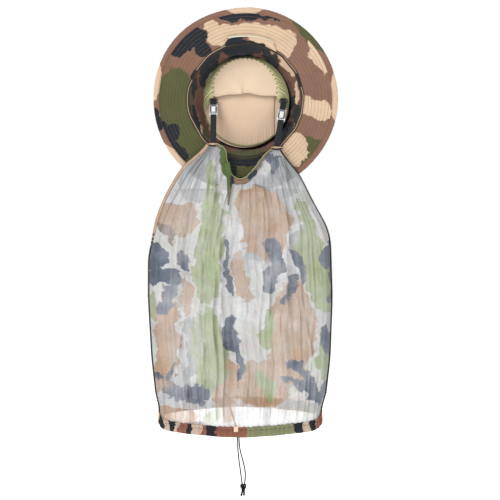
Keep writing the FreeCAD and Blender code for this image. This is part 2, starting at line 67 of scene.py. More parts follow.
# Sizes in millimetres, most of them read from the frame.
CLOTH = 1.2
HEAD_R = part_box("crown_side")[1].x / MM - CLOTH
BRIM_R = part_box("brim_edge_binding")[1].x / MM
BRIM_DROP = -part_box("brim_underside_cloth")[0].y / MM
BRIM_T = 3.0
CROWN_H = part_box("crown_side")[1].y / MM
CROWN_TOP_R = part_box("crown_top")[1].x / MM - CLOTH
WALL_SEGMENTS = 260
BINDING_W = 10.0            # how far the binding reaches in from the brim's edge
HAT_STITCH = (3.1, 2.5, 0.5)    # step, length and thickness
LINING_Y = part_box("crown_lining")[0].y / MM
POCKET_X = (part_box("pocket_panel")[0].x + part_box("pocket_panel")[1].x) / 2 / MM
POCKET_R = (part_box("pocket_panel")[1].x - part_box("pocket_panel")[0].x) / 2 / MM
POCKET_LIFT = 3.5           # the slack pocket rides up from its solid
POCKET_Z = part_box("pocket_panel")[1].z / MM - POCKET_R + POCKET_LIFT
POCKET_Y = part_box("pocket_panel")[0].y / MM
MOUTH_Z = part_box("pocket_panel")[0].z / MM + POCKET_LIFT
RING_X, RING_Z = 0.5, 4.0   # middle of the lining's piped edge, where the wall's folds leave it open
RING_HALF_X, RING_HALF_Z = 74.5, 77.0
BUCKLE_MIDDLE = 9.8         # a buckle's middle above the pin of its lever
BUCKLE_BAR = 11.0           # a buckle's upper bar above its middle

# The bag's cross-section at each height: z, left side, right side, front depth, back depth, side y.
BAG = [
    (-68, -62, 56, 3, 1, -12), (-82, -71, 64, 4, 1, -12), (-94, -80, 73, 6, 1, -12),
    (-112, -101, 82, 9, 1, -12), (-136, -117, 96, 12, 1, -12), (-156, -128, 106, 15, 1, -12),
    (-178, -139, 117, 19, 3, -12), (-213, -151, 137, 25, 9, -13), (-236, -156, 143, 29, 13, -13),
    (-265, -163, 144, 32, 18, -14), (-340, -163, 146, 36, 26, -16), (-437, -157, 142, 34, 29, -19),
    (-505, -149, 134, 31, 30, -21), (-572, -140, 124, 30, 30, -22),
]
BAG_SQUARE = 2.6            # 2 makes the bag's cross-section an ellipse
FULL_WIDTH_Z = -265         # the net has spread to its full width here

# The net's upper edge, across the left tie, down and up the V of the neck, and across the right tie:
# how far across the cloth, x, z.
NECK = [
    (-1.0, -63, -78), (-0.62, -46, -77), (-0.52, -36.5, -83), (-0.44, -31.5, -101),
    (-0.36, -27.5, -118), (-0.26, -20, -131), (-0.12, -9, -135.5), (0.02, 1, -132.5),
    (0.14, 11, -123), (0.27, 22.5, -108), (0.42, 35.5, -92), (0.52, 45, -85), (1.0, 59, -85),
]
BACK_TOP_Z = -153
HEM_X, HEM_Y = -8.5, -22.0
HEM_HALF_W, HEM_HALF_D = 137.5, 30.0
HEM_LOW_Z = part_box("hem_casing")[0].z / MM
HEM_RISE = 43.0
HEM_H = 18.0
HEM_TUCK = 2.8              # the net goes into the hem this far inside its outer line
HEM_LAP = 4.0               # and this far below its upper edge
HEM_FRONT_Y, HEM_BACK_Y, HEM_MIDDLE_Z = -50, 8, -540
SEAM_INSET = 1.2            # the net stops short of the side seams' outer line
CORD_R = 1.1

# The drawcord's two free strands, from the hem to the knot.
LEFT_STRAND = [(-13.4, -49.5, -560), (-13.0, -49.6, -575), (-11.9, -50.0, -590),
               (-10.4, -50.3, -605), (-8.0, -50.1, -621), (-5.2, -49.6, -643)]
RIGHT_STRAND = [(-10.9, -49.5, -560), (-10.2, -49.3, -574), (-8.6, -49.0, -588),
                (-4.8, -48.8, -601), (-1.2, -49.0, -615), (0.6, -49.4, -629), (-1.3, -49.8, -643)]
TAILS = [[(-4.9, -50.6, -653), (-5.7, -50.9, -658), (-6.9, -50.8, -662)],
         [(-2.2, -48.7, -653), (-1.9, -48.3, -658), (-2.6, -48.0, -662)]]
KNOT_CENTRE = (-3.4, -49.6, -648.5)

# ---- Patches of each tone, print with some painted shade: x, z, half width, half height, turn in degrees ----

# Print on the brim's underside. The wide black band just below the head opening, at (2, -104), is painted shade.
BRIM_PRINT_AND_SHADE = {
    "green": [(-121, -10, 33, 66, 0), (-92, -70, 38, 40, 20), (117, 104, 60, 13, -46),
              (113, -92, 20, 32, 15), (-8, -124, 64, 34, 0), (-60, -112, 40, 34, 0)],
    "beige": [(8, 108, 76, 22, 0), (62, 95, 25, 24, -30), (-58, 125, 17, 9, -15),
              (127, 76, 35, 14, -62), (121, -15, 31, 17, -25), (84, -86, 24, 30, -20)],
    "black": [(-12, 143, 40, 9, 0), (38, 139, 30, 4, -8), (-88, 105, 24, 19, 25),
              (-115, 86, 19, 13, 10), (-72, 86, 17, 12, -20), (-87, 43, 7, 14, -20),
              (-127, -58, 18, 14, 0), (-147, -36, 7, 17, 20), (-110, -87, 9, 21, 35),
              (-8, -142, 20, 6, 0), (22, -117, 11, 10, 0), (2, -104, 44, 9, 0),
              (-22, -118, 8, 12, 0)],
}
BINDING_PRINT = {
    "beige": [(-155, 45, 13, 46, 0), (-2, 157, 36, 12, 0), (154, 6, 9, 46, 0),
              (-120, -98, 34, 11, -42)],
    "green": [(112, 112, 48, 14, -46), (70, -140, 30, 12, 0)],
    "black": [(-150, -34, 9, 20, 15)],
}
# Print on the crown's inside. Some black patches are painted shadow in the deep gaps and folds: the band at the upper
# left, the folds at the lower right and the band along the bottom.
CROWN_PRINT_AND_SHADE = {
    "green": [(10, -92, 46, 10, 0), (-74, -52, 8, 16, 35), (-92, 8, 4, 30, 0)],
    "beige": [(42, 97, 40, 12, -18), (72, 66, 9, 28, 36), (88, 14, 4, 20, 0),
              (-62, 86, 9, 7, 40), (-78, -46, 4, 12, 20), (84, -36, 4, 12, -20)],
    "black": [(-12, 90, 44, 11, 2), (42, 76, 20, 7, -40), (-22, 103, 20, 5, 6),
              (-62, 58, 9, 34, -30), (-89, 30, 4, 26, 0), (-84, -34, 6, 30, 12),
              (66, -52, 11, 24, -38), (88, -24, 7, 20, 0), (80, 2, 5, 12, 0),
              (8, -100, 44, 6, 4), (-52, -78, 22, 6, 38), (92, 46, 4, 18, 20)],
}
NET_PRINT = {
    "grey": [(-84, -128, 34, 46, 35), (-60, -86, 14, 24, 0), (66, -128, 26, 44, -28),
             (12, -250, 10, 30, 0), (98, -236, 18, 22, 20), (-92, -428, 10, 60, 0)],
    "umber": [(-136, -372, 9, 50, -8), (-128, -452, 12, 46, 6), (-100, -545, 40, 9, 0),
              (-134, -218, 12, 30, 20), (24, -166, 14, 20, -30)],
    "tan": [(-111, -196, 34, 33, 0), (-130, -410, 22, 84, -5), (28, -212, 46, 62, 8),
            (-97, -332, 9, 34, 0), (76, -395, 38, 92, 0), (30, -476, 46, 44, 0),
            (-31, -492, 20, 52, 0), (-5, -300, 9, 40, 0), (-118, -530, 30, 16, 0)],
    "green": [(-52, -150, 10, 44, -8), (-58, -232, 22, 74, -10), (-64, -300, 24, 50, 0),
              (-60, -424, 29, 72, 4), (100, -200, 13, 36, 30), (118, -290, 22, 78, 12),
              (36, -384, 12, 30, 0), (131, -432, 10, 46, 0), (-151, -350, 9, 27, 0),
              (38, -480, 12, 28, 20), (-60, -528, 20, 12, 0)],
    "black": [(-143, -274, 20, 20, 0), (-132, -302, 30, 15, 0), (-100, -274, 8, 24, 15),
              (-124, -337, 10, 27, -28), (-27, -288, 7, 52, 10), (-22, -398, 17, 31, -8),
              (-11, -447, 8, 29, 10), (51, -270, 12, 30, 0), (42, -300, 15, 24, 0),
              (37, -248, 10, 10, 0), (70, -324, 11, 25, -12), (90, -283, 8, 38, 10),
              (137, -262, 14, 30, 0), (143, -314, 5, 34, 0), (136, -406, 10, 24, 0),
              (92, -447, 10, 10, 0), (109, -484, 11, 36, 28), (79, -474, 20, 7, -22),
              (129, -490, 9, 19, -35), (-139, -468, 15, 7, -38), (-121, -462, 4, 20, 0),
              (-88, -492, 38, 13, 0), (38, -98, 11, 16, 10), (52, -112, 9, 22, -12)],
}
# A pale welt round the head opening, and the net where it lies double round the neck.
WELT_PRINT = {"green": [(0, -90, 52, 34, 0)], "black": [(-84, 40, 12, 9, 0), (92, 34, 12, 12, 0)]}
FOLD_PRINT = {"green": [(-30, -110, 16, 46, 0)], "brown": [(-6, -140, 14, 9, 0)],
              "black": [(16, -128, 13, 9, 0), (-21, -142, 4, 12, 0)]}
FOLD_GROUND = (0.16, 0.13, 0.1, 1.0)
FOLD_TONES = {"green": (0.075, 0.11, 0.035, 1.0), "brown": (0.2, 0.125, 0.085, 1.0),
              "black": (0.03, 0.035, 0.04, 1.0)}
# Folds that run from the ties to the hem: x at the neck, x at the hem, width, depth.
NET_CREASES = [
    (-56, -132, 2.6, 3.4), (-54, -104, 2.2, 2.8), (-51, -78, 3.4, 3.8), (-48, -52, 4.2, 4.4),
    (-44, -34, 2.4, 3.0), (-30, -12, 2.2, 2.2), (-8, 6, 2.0, 2.0), (34, 20, 2.4, 2.4),
    (46, 40, 2.8, 3.2), (52, 62, 2.6, 3.4), (57, 84, 3.4, 4.2), (61, 106, 2.8, 3.6),
    (64, 124, 2.2, 2.8),
]
# Across the front of the hem and across its back: tone, from x, to x.
HEM_FRONT_PRINT = [
    ("black", -150, -136), ("tan", -136, -127), ("black", -127, -118), ("tan", -118, -111),
    ("brown", -111, -98), ("black", -98, -89), ("tan", -89, -72), ("brown", -72, -64),
    ("black", -64, -48), ("brown", -48, 4), ("green", 4, 82), ("black", 82, 94),
    ("tan", 94, 106), ("black", 106, 117), ("brown", 117, 140),
]
HEM_BACK_PRINT = [
    ("black", -150, -70), ("green", -70, -48), ("brown", -48, -26), ("brown", -14, 42),
    ("green", 56, 80), ("brown", 80, 124), ("black", 124, 140),
]


# ---- Mesh help ----


def eased(share):
    """A share from 0 to 1 that starts and ends gently."""
    share = np.clip(share, 0.0, 1.0)
    return share * share * (3 - 2 * share)


def wobble(points, scale, seed=0.0):
    """Smooth noise from -1 to 1 at each of the points, which are in millimetres."""
    offset = Vector((seed * 7.3, seed * 3.1, seed * 5.7))
    flat = np.asarray(points, float).reshape(-1, 3) / scale
    return np.array([noise.noise(Vector(p) + offset) for p in flat])


def linked(name, data):
    """A new object in the scene."""
    piece = bpy.data.objects.new(name, data)
    bpy.context.scene.collection.objects.link(piece)
    return piece


def add_mesh(name, points, faces, finish, uv=None, values=None):
    """A smooth mesh from points in millimetres, with its cloth coordinates and other values."""
    mesh = bpy.data.meshes.new(name)
    mesh.from_pydata([tuple(p) for p in np.asarray(points, float) * MM], [], faces)
    if uv is not None:
        layer = mesh.uv_layers.new(name="cloth")
        corner = np.zeros(len(mesh.loops), np.int32)
        mesh.loops.foreach_get("vertex_index", corner)
        layer.data.foreach_set("uv", (np.asarray(uv, np.float32) * MM)[corner].ravel())
    for key, numbers in (values or {}).items():
        layer = mesh.attributes.new(key, "FLOAT", "POINT")
        layer.data.foreach_set("value", np.asarray(numbers, np.float32))
    mesh.shade_smooth()
    mesh.materials.append(bpy.data.materials[finish])
    return linked(name, mesh)


def quads(rows, columns, wrap_rows=False, wrap_columns=False):
    """Faces of a grid whose points run along the columns first."""
    faces = []
    for i in range(rows if wrap_rows else rows - 1):
        for j in range(columns if wrap_columns else columns - 1):
            a, b = i * columns, (i + 1) % rows * columns
            k = (j + 1) % columns
            faces.append((a + j, a + k, b + k, b + j))
    return faces


def turn_out(piece):
    """Makes every face of a closed piece point outwards."""
    work = bmesh.new()
    work.from_mesh(piece.data)
    bmesh.ops.recalc_face_normals(work, faces=work.faces)
    work.to_mesh(piece.data)
    work.free()
    return piece


def ring_piece(name, profile, segments, finish, bend=None):
    """A closed ring from an outline of (radius, y), bent by a function of angle, radius and y."""
    angles = np.linspace(0, 2 * math.pi, segments, endpoint=False)
    radius = np.array([r for r, _ in profile])
    depth = np.array([y for _, y in profile])
    a, r = np.meshgrid(angles, radius)
    y = np.repeat(depth[:, None], segments, axis=1)
    if bend:
        r, y = bend(a, r, y)
    points = np.stack([r * np.cos(a), y, r * np.sin(a)], axis=-1).reshape(-1, 3)
    along = np.cumsum([0] + [math.hypot(p[0] - q[0], p[1] - q[1]) for p, q in zip(profile, profile[1:])])
    middle = float(radius.mean())
    uv = np.stack([a * middle, np.repeat(along[:, None], segments, axis=1)], axis=-1).reshape(-1, 2)
    return turn_out(add_mesh(name, points, quads(len(profile), segments, True, True), finish, uv))


def path_frames(path):
    """Unit directions along a path of points."""
    path = np.asarray(path, float)
    ahead = np.gradient(path, axis=0)
    return ahead / np.linalg.norm(ahead, axis=1)[:, None]


def swept(name, path, sides, section, finish, closed=False):
    """A section of (across, out) points carried along a path, sides being the across directions."""
    path = np.asarray(path, float)
    ahead = path_frames(path)
    if closed:
        ahead = np.roll(path, -1, axis=0) - np.roll(path, 1, axis=0)
        ahead /= np.linalg.norm(ahead, axis=1)[:, None]
    sides = np.asarray(sides, float) * np.ones((len(path), 1))
    sides = sides - ahead * (sides * ahead).sum(1)[:, None]
    sides /= np.linalg.norm(sides, axis=1)[:, None]
    outs = np.cross(sides, ahead)
    section = np.asarray(section, float)
    if section.ndim == 2:
        section = np.repeat(section[None], len(path), axis=0)
    points = (path[:, None] + sides[:, None] * section[..., :1] + outs[:, None] * section[..., 1:])
    count = section.shape[1]
    length = np.concatenate([[0], np.cumsum(np.linalg.norm(np.diff(path, axis=0), axis=1))])
    around = np.concatenate([[0], np.cumsum(np.linalg.norm(np.diff(section[0], axis=0), axis=1))])
    uv = np.stack(np.meshgrid(length, around, indexing="ij"), axis=-1).reshape(-1, 2)
    faces = quads(len(path), count, closed, True)
    if not closed:
        faces.append(tuple(range(count)))
        faces.append(tuple(reversed(range((len(path) - 1) * count, len(path) * count))))
    return turn_out(add_mesh(name, points.reshape(-1, 3), faces, finish, uv))


def rounded_strip(width, thickness, ribs=0):
    """The section of a flat tape with rounded edges, and shallow ribs along it."""
    half_w, half_t = width / 2, thickness / 2
    across = np.linspace(-half_w + half_t, half_w - half_t, max(2, 4 * ribs + 1))
    swell = 0.12 * thickness * np.abs(np.sin(np.linspace(0, math.pi * max(ribs, 1), len(across))))
    top = [(x, half_t + (s if ribs else 0)) for x, s in zip(across, swell)]
    turn = [math.pi * k / 4 for k in (1, 2, 3)]
    right = [(half_w - half_t + half_t * math.sin(a), half_t * math.cos(a)) for a in turn]
    bottom = [(x, -y) for x, y in reversed(top)]
    left = [(-x, -y) for x, y in right]
    return top + right + bottom + left


def round_section(radius, count=10):
    """A circle of points."""
    return [(radius * math.cos(2 * math.pi * k / count), radius * math.sin(2 * math.pi * k / count))
            for k in range(count)]


def widened(section, widths):
    """A section for each place along a path, so many times as wide."""
    sections = np.repeat(np.array(section)[None], len(widths), axis=0)
    sections[..., 0] *= np.asarray(widths)[:, None]
    return sections


def smooth_path(points, count):
    """A path through a few points, evenly spaced and without corners."""
    points = np.asarray(points, float)
    at = np.concatenate([[0], np.cumsum(np.linalg.norm(np.diff(points, axis=0), axis=1))])
    slopes = np.gradient(points, at, axis=0)
    out = []
    for t in np.linspace(0, at[-1], count):
        k = min(max(int(np.searchsorted(at, t)) - 1, 0), len(at) - 2)
        h = at[k + 1] - at[k]
        s = (t - at[k]) / h
        out.append((1 + 2 * s) * (1 - s) ** 2 * points[k] + s * s * (3 - 2 * s) * points[k + 1]
                   + h * s * (1 - s) ** 2 * slopes[k] + h * s * s * (s - 1) * slopes[k + 1])
    return np.array(out)


def applied(piece):
    """The piece with its modifiers made into plain mesh."""
    graph = bpy.context.evaluated_depsgraph_get()
    mesh = bpy.data.meshes.new_from_object(piece.evaluated_get(graph))
    piece.modifiers.clear()
    old = piece.data
    piece.data = mesh
    if isinstance(old, bpy.types.Mesh):
        bpy.data.meshes.remove(old)
    return piece


def thickened(piece, thickness):
    """The piece made so many millimetres thick, half of it on each side."""
    thick = piece.modifiers.new("cloth", "SOLIDIFY")
    thick.thickness = thickness * MM
    thick.offset = 0
    applied(piece)
    piece.data.shade_smooth()
    return piece


def repaint(node, finish):
    """One of the frame's own nodes in one of the finishes."""
    NODES[node].data.materials.clear()
    NODES[node].data.materials.append(bpy.data.materials[finish])


def settle(piece, body, slot, *nodes):
    """The piece rides on a body, in place of its nodes; slot is not used."""
    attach(piece, body)
    if nodes:
        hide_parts(*nodes)
    return piece


# ---- Node help ----


class Maker:
    """Adds nodes to a tree and joins them up."""

    def __init__(self, tree):
        self.tree = tree

    def add(self, kind, inputs=None, **settings):
        node = self.tree.nodes.new(kind)
        for key, value in settings.items():
            setattr(node, key, value)
        for key, value in (inputs or {}).items():
            self.put(node.inputs[key], value)
        return node

    def put(self, socket, value):
        if isinstance(value, bpy.types.NodeSocket):
            self.tree.links.new(value, socket)
        else:
            socket.default_value = value

    def math(self, operation, a, b=0.0, c=0.0, clamp=False):
        return self.add("ShaderNodeMath", {0: a, 1: b, 2: c}, operation=operation,
                        use_clamp=clamp).outputs[0]

    def vector(self, operation, a, b=(0.0, 0.0, 0.0)):
        node = self.add("ShaderNodeVectorMath", {0: a, 1: b}, operation=operation)
        return node.outputs["Value" if operation == "LENGTH" else "Vector"]

    def scale(self, vector, amount):
        return self.add("ShaderNodeVectorMath", {0: vector, "Scale": amount}, operation="SCALE").outputs[0]

    def turn(self, vector, angle):
        return self.add("ShaderNodeVectorRotate", {"Vector": vector, "Angle": angle},
                        rotation_type="Y_AXIS").outputs[0]

    def mix(self, share, a, b):
        return self.add("ShaderNodeMix", {0: share, 6: a, 7: b}, data_type="RGBA").outputs[2]

    def fit(self, value, low, high, to_low=0.0, to_high=1.0):
        numbers = {0: value, 1: low, 2: high, 3: to_low, 4: to_high}
        return self.add("ShaderNodeMapRange", numbers).outputs[0]

    def noise(self, place, scale, detail=2.0, roughness=0.5):
        node = self.add("ShaderNodeTexNoise", {"Vector": place, "Scale": scale, "Detail": detail,
                                               "Roughness": roughness})
        return node.outputs["Fac"], node.outputs["Color"]

    def group(self, name, **inputs):
        node = self.add("ShaderNodeGroup", node_tree=bpy.data.node_groups[name])
        for key, value in inputs.items():
            self.put(node.inputs[key.replace("_", " ")], value)
        return node.outputs


def shader_group(name, inputs, outputs, build):
    """A shader node group with named inputs and outputs, built once."""
    if name in bpy.data.node_groups:
        return
    tree = bpy.data.node_groups.new(name, "ShaderNodeTree")
    for label, kind, default in inputs:
        socket = tree.interface.new_socket(label, in_out="INPUT", socket_type="NodeSocket" + kind)
        socket.default_value = default
    for label, kind in outputs:
        tree.interface.new_socket(label, in_out="OUTPUT", socket_type="NodeSocket" + kind)
    maker = Maker(tree)
    given = tree.nodes.new("NodeGroupInput").outputs
    results = build(maker, given)
    last = tree.nodes.new("NodeGroupOutput")
    for label, value in results.items():
        maker.put(last.inputs[label], value)


def build_patch(make, given):
    """How far a place is from the middle of a patch, in patches, or from a nearer patch."""
    away = make.vector("SUBTRACT", given["Coordinates"], given["Centre"])
    share = make.vector("DIVIDE", make.turn(away, given["Turn"]), given["Half Size"])
    return {"Nearest": make.math("MINIMUM", given["Nearest"], make.vector("LENGTH", share))}


def build_ragged(make, given):
    """Coordinates shaken by large and small noise, so that a patch has an uneven edge."""
    total = given["Coordinates"]
    for share, scale in ((1.0, 1.0), (0.42, 3.0), (0.16, 11.0)):
        size = make.math("MULTIPLY", given["Scale"], scale)
        shaken = make.noise(given["Coordinates"], size, 1.0)[1]
        centred = make.vector("SUBTRACT", shaken, (0.5, 0.5, 0.5))
        reach = make.math("MULTIPLY", given["Reach"], share)
        total = make.vector("ADD", total, make.scale(centred, reach))
    return {"Coordinates": total}


def build_weave(make, given):
    """Crossing threads: a height for a bump, and a shade that paints the cloth lighter on top of a thread and darker
    between threads, as painted light and shade.
    """
    size = make.scale(given["Coordinates"], given["Threads"])
    parts = make.add("ShaderNodeSeparateXYZ", {0: size}).outputs
    waves = [make.math("SINE", make.math("MULTIPLY", part, math.pi)) for part in (parts[0], parts[1])]
    twill = make.math("SINE", make.math("MULTIPLY", make.math("ADD", parts[0], parts[1]), math.pi))
    plain = make.math("ADD", make.math("ABSOLUTE", waves[0]), make.math("ABSOLUTE", waves[1]))
    mixed = make.math("ADD", make.math("MULTIPLY", plain, make.math("SUBTRACT", 1.0, given["Twill"])),
                      make.math("MULTIPLY", make.math("ADD", twill, 1.0), given["Twill"]))
    height = make.math("MULTIPLY", mixed, 0.5)
    return {"Height": height, "Shade": make.fit(height, 0.0, 1.0, 0.88, 1.05)}


def build_dye(make, given):
    """Cloth colour made uneven by fading along creases and fine specks of thread."""
    broad = make.noise(given["Coordinates"], given["Scale"], 4.0, 0.6)[0]
    specks = make.noise(given["Coordinates"], make.math("MULTIPLY", given["Scale"], 18.0), 2.0)[0]
    level = make.math("ADD", make.math("SUBTRACT", broad, 0.5), make.math("MULTIPLY", specks, 0.5))
    shade = make.math("MULTIPLY_ADD", make.math("SUBTRACT", level, 0.25), given["Amount"], 1.0)
    return {"Colour": make.scale(given["Colour"], shade), "Shade": shade}


def build_random_print(make, given):
    """A four-colour print whose patches come from noise, for cloth with no listed patches."""
    stretched = make.vector("MULTIPLY", given["Coordinates"], (1.0, 1.0, 1.5))
    colour = given["Ground"]
    for index, (tone, edge) in enumerate((("Second", 0.53), ("Third", 0.56), ("Fourth", 0.6))):
        place = make.vector("ADD", stretched, (0.31 * (index + 1), 0.17 * index, 0.53 * (index + 2)))
        value = make.noise(place, given["Scale"], 3.0, 0.45)[0]
        colour = make.mix(make.fit(value, edge - 0.004, edge + 0.004), colour, given[tone])
    return {"Colour": colour}


def build_twist(make, given):
    """Strands that run slantwise round a thread or cord: a height, and a shade that paints the grooves between strands
    darker and their crowns lighter, as painted shade and light.
    """
    parts = make.add("ShaderNodeSeparateXYZ", {0: given["Coordinates"]}).outputs
    slant = make.math("ADD", parts[0], make.math("MULTIPLY", make.math("ADD", parts[1], parts[2]), 1.7))
    wave = make.math("SINE", make.math("MULTIPLY", slant, given["Strands"]))
    return {"Height": make.math("MULTIPLY_ADD", wave, 0.5, 0.5),
            "Shade": make.fit(wave, -1.0, 1.0, 0.72, 1.12)}


def build_wear(make, given):
    """Rubbed metal: small uneven gloss, and fine scratches for a bump."""
    cloud = make.noise(given["Coordinates"], 380.0, 3.0)[0]
    lines = make.noise(make.vector("MULTIPLY", given["Coordinates"], (9.0, 1.0, 1.0)), 900.0, 2.0)[0]
    rough = make.math("MULTIPLY_ADD", cloud, given["Amount"], given["Base"])
    return {"Roughness": rough, "Height": lines}


def make_groups():
    """Every effect that several finishes use."""
    shader_group("Patch", [("Coordinates", "Vector", (0, 0, 0)), ("Centre", "Vector", (0, 0, 0)),
                           ("Half Size", "Vector", (1, 1, 1)), ("Turn", "Float", 0.0),
                           ("Nearest", "Float", 9.0)], [("Nearest", "Float")], build_patch)
    shader_group("Ragged edge", [("Coordinates", "Vector", (0, 0, 0)), ("Scale", "Float", 30.0),
                                 ("Reach", "Float", 0.02)], [("Coordinates", "Vector")], build_ragged)
    shader_group("Weave", [("Coordinates", "Vector", (0, 0, 0)), ("Threads", "Float", 2000.0),
                           ("Twill", "Float", 0.5)], [("Height", "Float"), ("Shade", "Float")], build_weave)
    shader_group("Uneven dye", [("Colour", "Color", (1, 1, 1, 1)), ("Coordinates", "Vector", (0, 0, 0)),
                                ("Scale", "Float", 60.0), ("Amount", "Float", 0.3)],
                 [("Colour", "Color"), ("Shade", "Float")], build_dye)
    shader_group("Random print", [("Coordinates", "Vector", (0, 0, 0)), ("Scale", "Float", 18.0),
                                  ("Ground", "Color", (1, 1, 1, 1)), ("Second", "Color", (1, 1, 1, 1)),
                                  ("Third", "Color", (1, 1, 1, 1)), ("Fourth", "Color", (1, 1, 1, 1))],
                 [("Colour", "Color")], build_random_print)
    shader_group("Twist", [("Coordinates", "Vector", (0, 0, 0)), ("Strands", "Float", 4000.0)],
                 [("Height", "Float"), ("Shade", "Float")], build_twist)
    shader_group("Metal wear", [("Coordinates", "Vector", (0, 0, 0)), ("Base", "Float", 0.2),
                                ("Amount", "Float", 0.2)], [("Roughness", "Float"), ("Height", "Float")],
                 build_wear)


def facing(table):
    """A table of patches with their centres and half sizes in x, y and z."""
    return {tone: [((x, 0, z), (wide, WIDE, high), turn) for x, z, wide, high, turn in rows]
            for tone, rows in table.items()}


def hem_patches():
    """Bands across the hem as patches, at its front and its back."""
    patches = {}
    for bands, y in ((HEM_FRONT_PRINT, HEM_FRONT_Y), (HEM_BACK_PRINT, HEM_BACK_Y)):
        for tone, low, high in bands:
            centre, half = ((low + high) / 2, y, HEM_MIDDLE_Z), ((high - low) / 2 + 0.5, 27, WIDE)
            patches.setdefault(tone, []).append((centre, half, 0))
    return patches


def printed(make, place, ground, tones, patches):
    """The colour and the mask of the last tone, of patches laid on a ground in the order of tones."""
    colour, mask = ground, None
    for tone, paint in tones.items():
        if tone not in patches:
            continue
        nearest = 9.0
        for centre, half, turn in patches[tone]:
            nearest = make.group("Patch", Coordinates=place, Nearest=nearest, Turn=math.radians(turn),
                                 Centre=[c * MM for c in centre], Half_Size=[h * MM for h in half])[0]
        mask = make.fit(nearest, 1.03, 0.97)
        colour = make.mix(mask, colour, paint)
    return colour, mask


def new_material(name):
    """An empty material with its maker and its Principled shader."""
    material = bpy.data.materials.new(name)
    material.use_nodes = True
    tree = material.node_tree
    tree.nodes.clear()
    make = Maker(tree)
    shader = make.add("ShaderNodeBsdfPrincipled")
    output = make.add("ShaderNodeOutputMaterial")
    tree.links.new(shader.outputs[0], output.inputs[0])
    return material, make, shader


def relief(make, shader, height, distance, strength=1.0):
    """A bump from a height, in millimetres at full height."""
    bump = make.add("ShaderNodeBump", {"Strength": strength, "Distance": distance * MM, "Height": height})
    make.put(shader.inputs["Normal"], bump.outputs[0])


def cloth_finish(name, paint, threads=1800.0, twill=0.6, amount=0.35, gloss=0.85, sheen=0.06, own_uv=True,
                 depth=0.12, scale=45.0):
    """Woven cloth; paint gives its colour from the maker and the object's coordinates."""
    material, make, shader = new_material(name)
    place = make.add("ShaderNodeTexCoord").outputs
    woven = make.group("Weave", Coordinates=place["UV"] if own_uv else place["Object"], Threads=threads,
                       Twill=twill)
    colour = paint(make, place["Object"]) if callable(paint) else paint
    dyed = make.group("Uneven dye", Colour=colour, Coordinates=place["Object"], Scale=scale, Amount=amount)
    # The weave's shade darkens the colour between threads and lightens it on their tops: painted shade and light.
    make.put(shader.inputs["Base Color"], make.scale(dyed["Colour"], woven["Shade"]))
    make.put(shader.inputs["Roughness"], make.fit(dyed["Shade"], 0.8, 1.2, gloss + 0.06, gloss - 0.06))
    shader.inputs["Sheen Weight"].default_value = sheen
    shader.inputs["Sheen Roughness"].default_value = 0.6
    shader.inputs["Specular IOR Level"].default_value = 0.25
    relief(make, shader, woven["Height"], depth)
    return material


def patch_paint(ground, tones, patches, ragged=34.0, reach=0.022):
    """Patches with ragged edges, placed one by one on a ground."""
    def paint(make, place):
        shaken = make.group("Ragged edge", Coordinates=place, Scale=ragged, Reach=reach)[0]
        return printed(make, shaken, ground, tones, patches)[0]
    return paint


def random_paint(ground, tones):
    """The hat's colours in patches that come from noise."""
    def paint(make, place):
        return make.group("Random print", Coordinates=place, Scale=17.0, Ground=ground,
                          Second=tones["green"], Third=tones["beige"], Fourth=tones["black"])[0]
    return paint


def gathered_shade_paint(settings):
    """Elastic painted darker between its gathers: painted shade in the hollows of the ruching."""
    def paint(make, place):
        raised = make.add("ShaderNodeAttribute", attribute_name="raised").outputs["Fac"]
        # Dark olive where the elastic lies low between gathers is painted shade.
        return make.mix(make.fit(raised, 0.05, 0.62), (0.09, 0.095, 0.03, 1.0), (*settings.gusset, 1.0))
    return paint


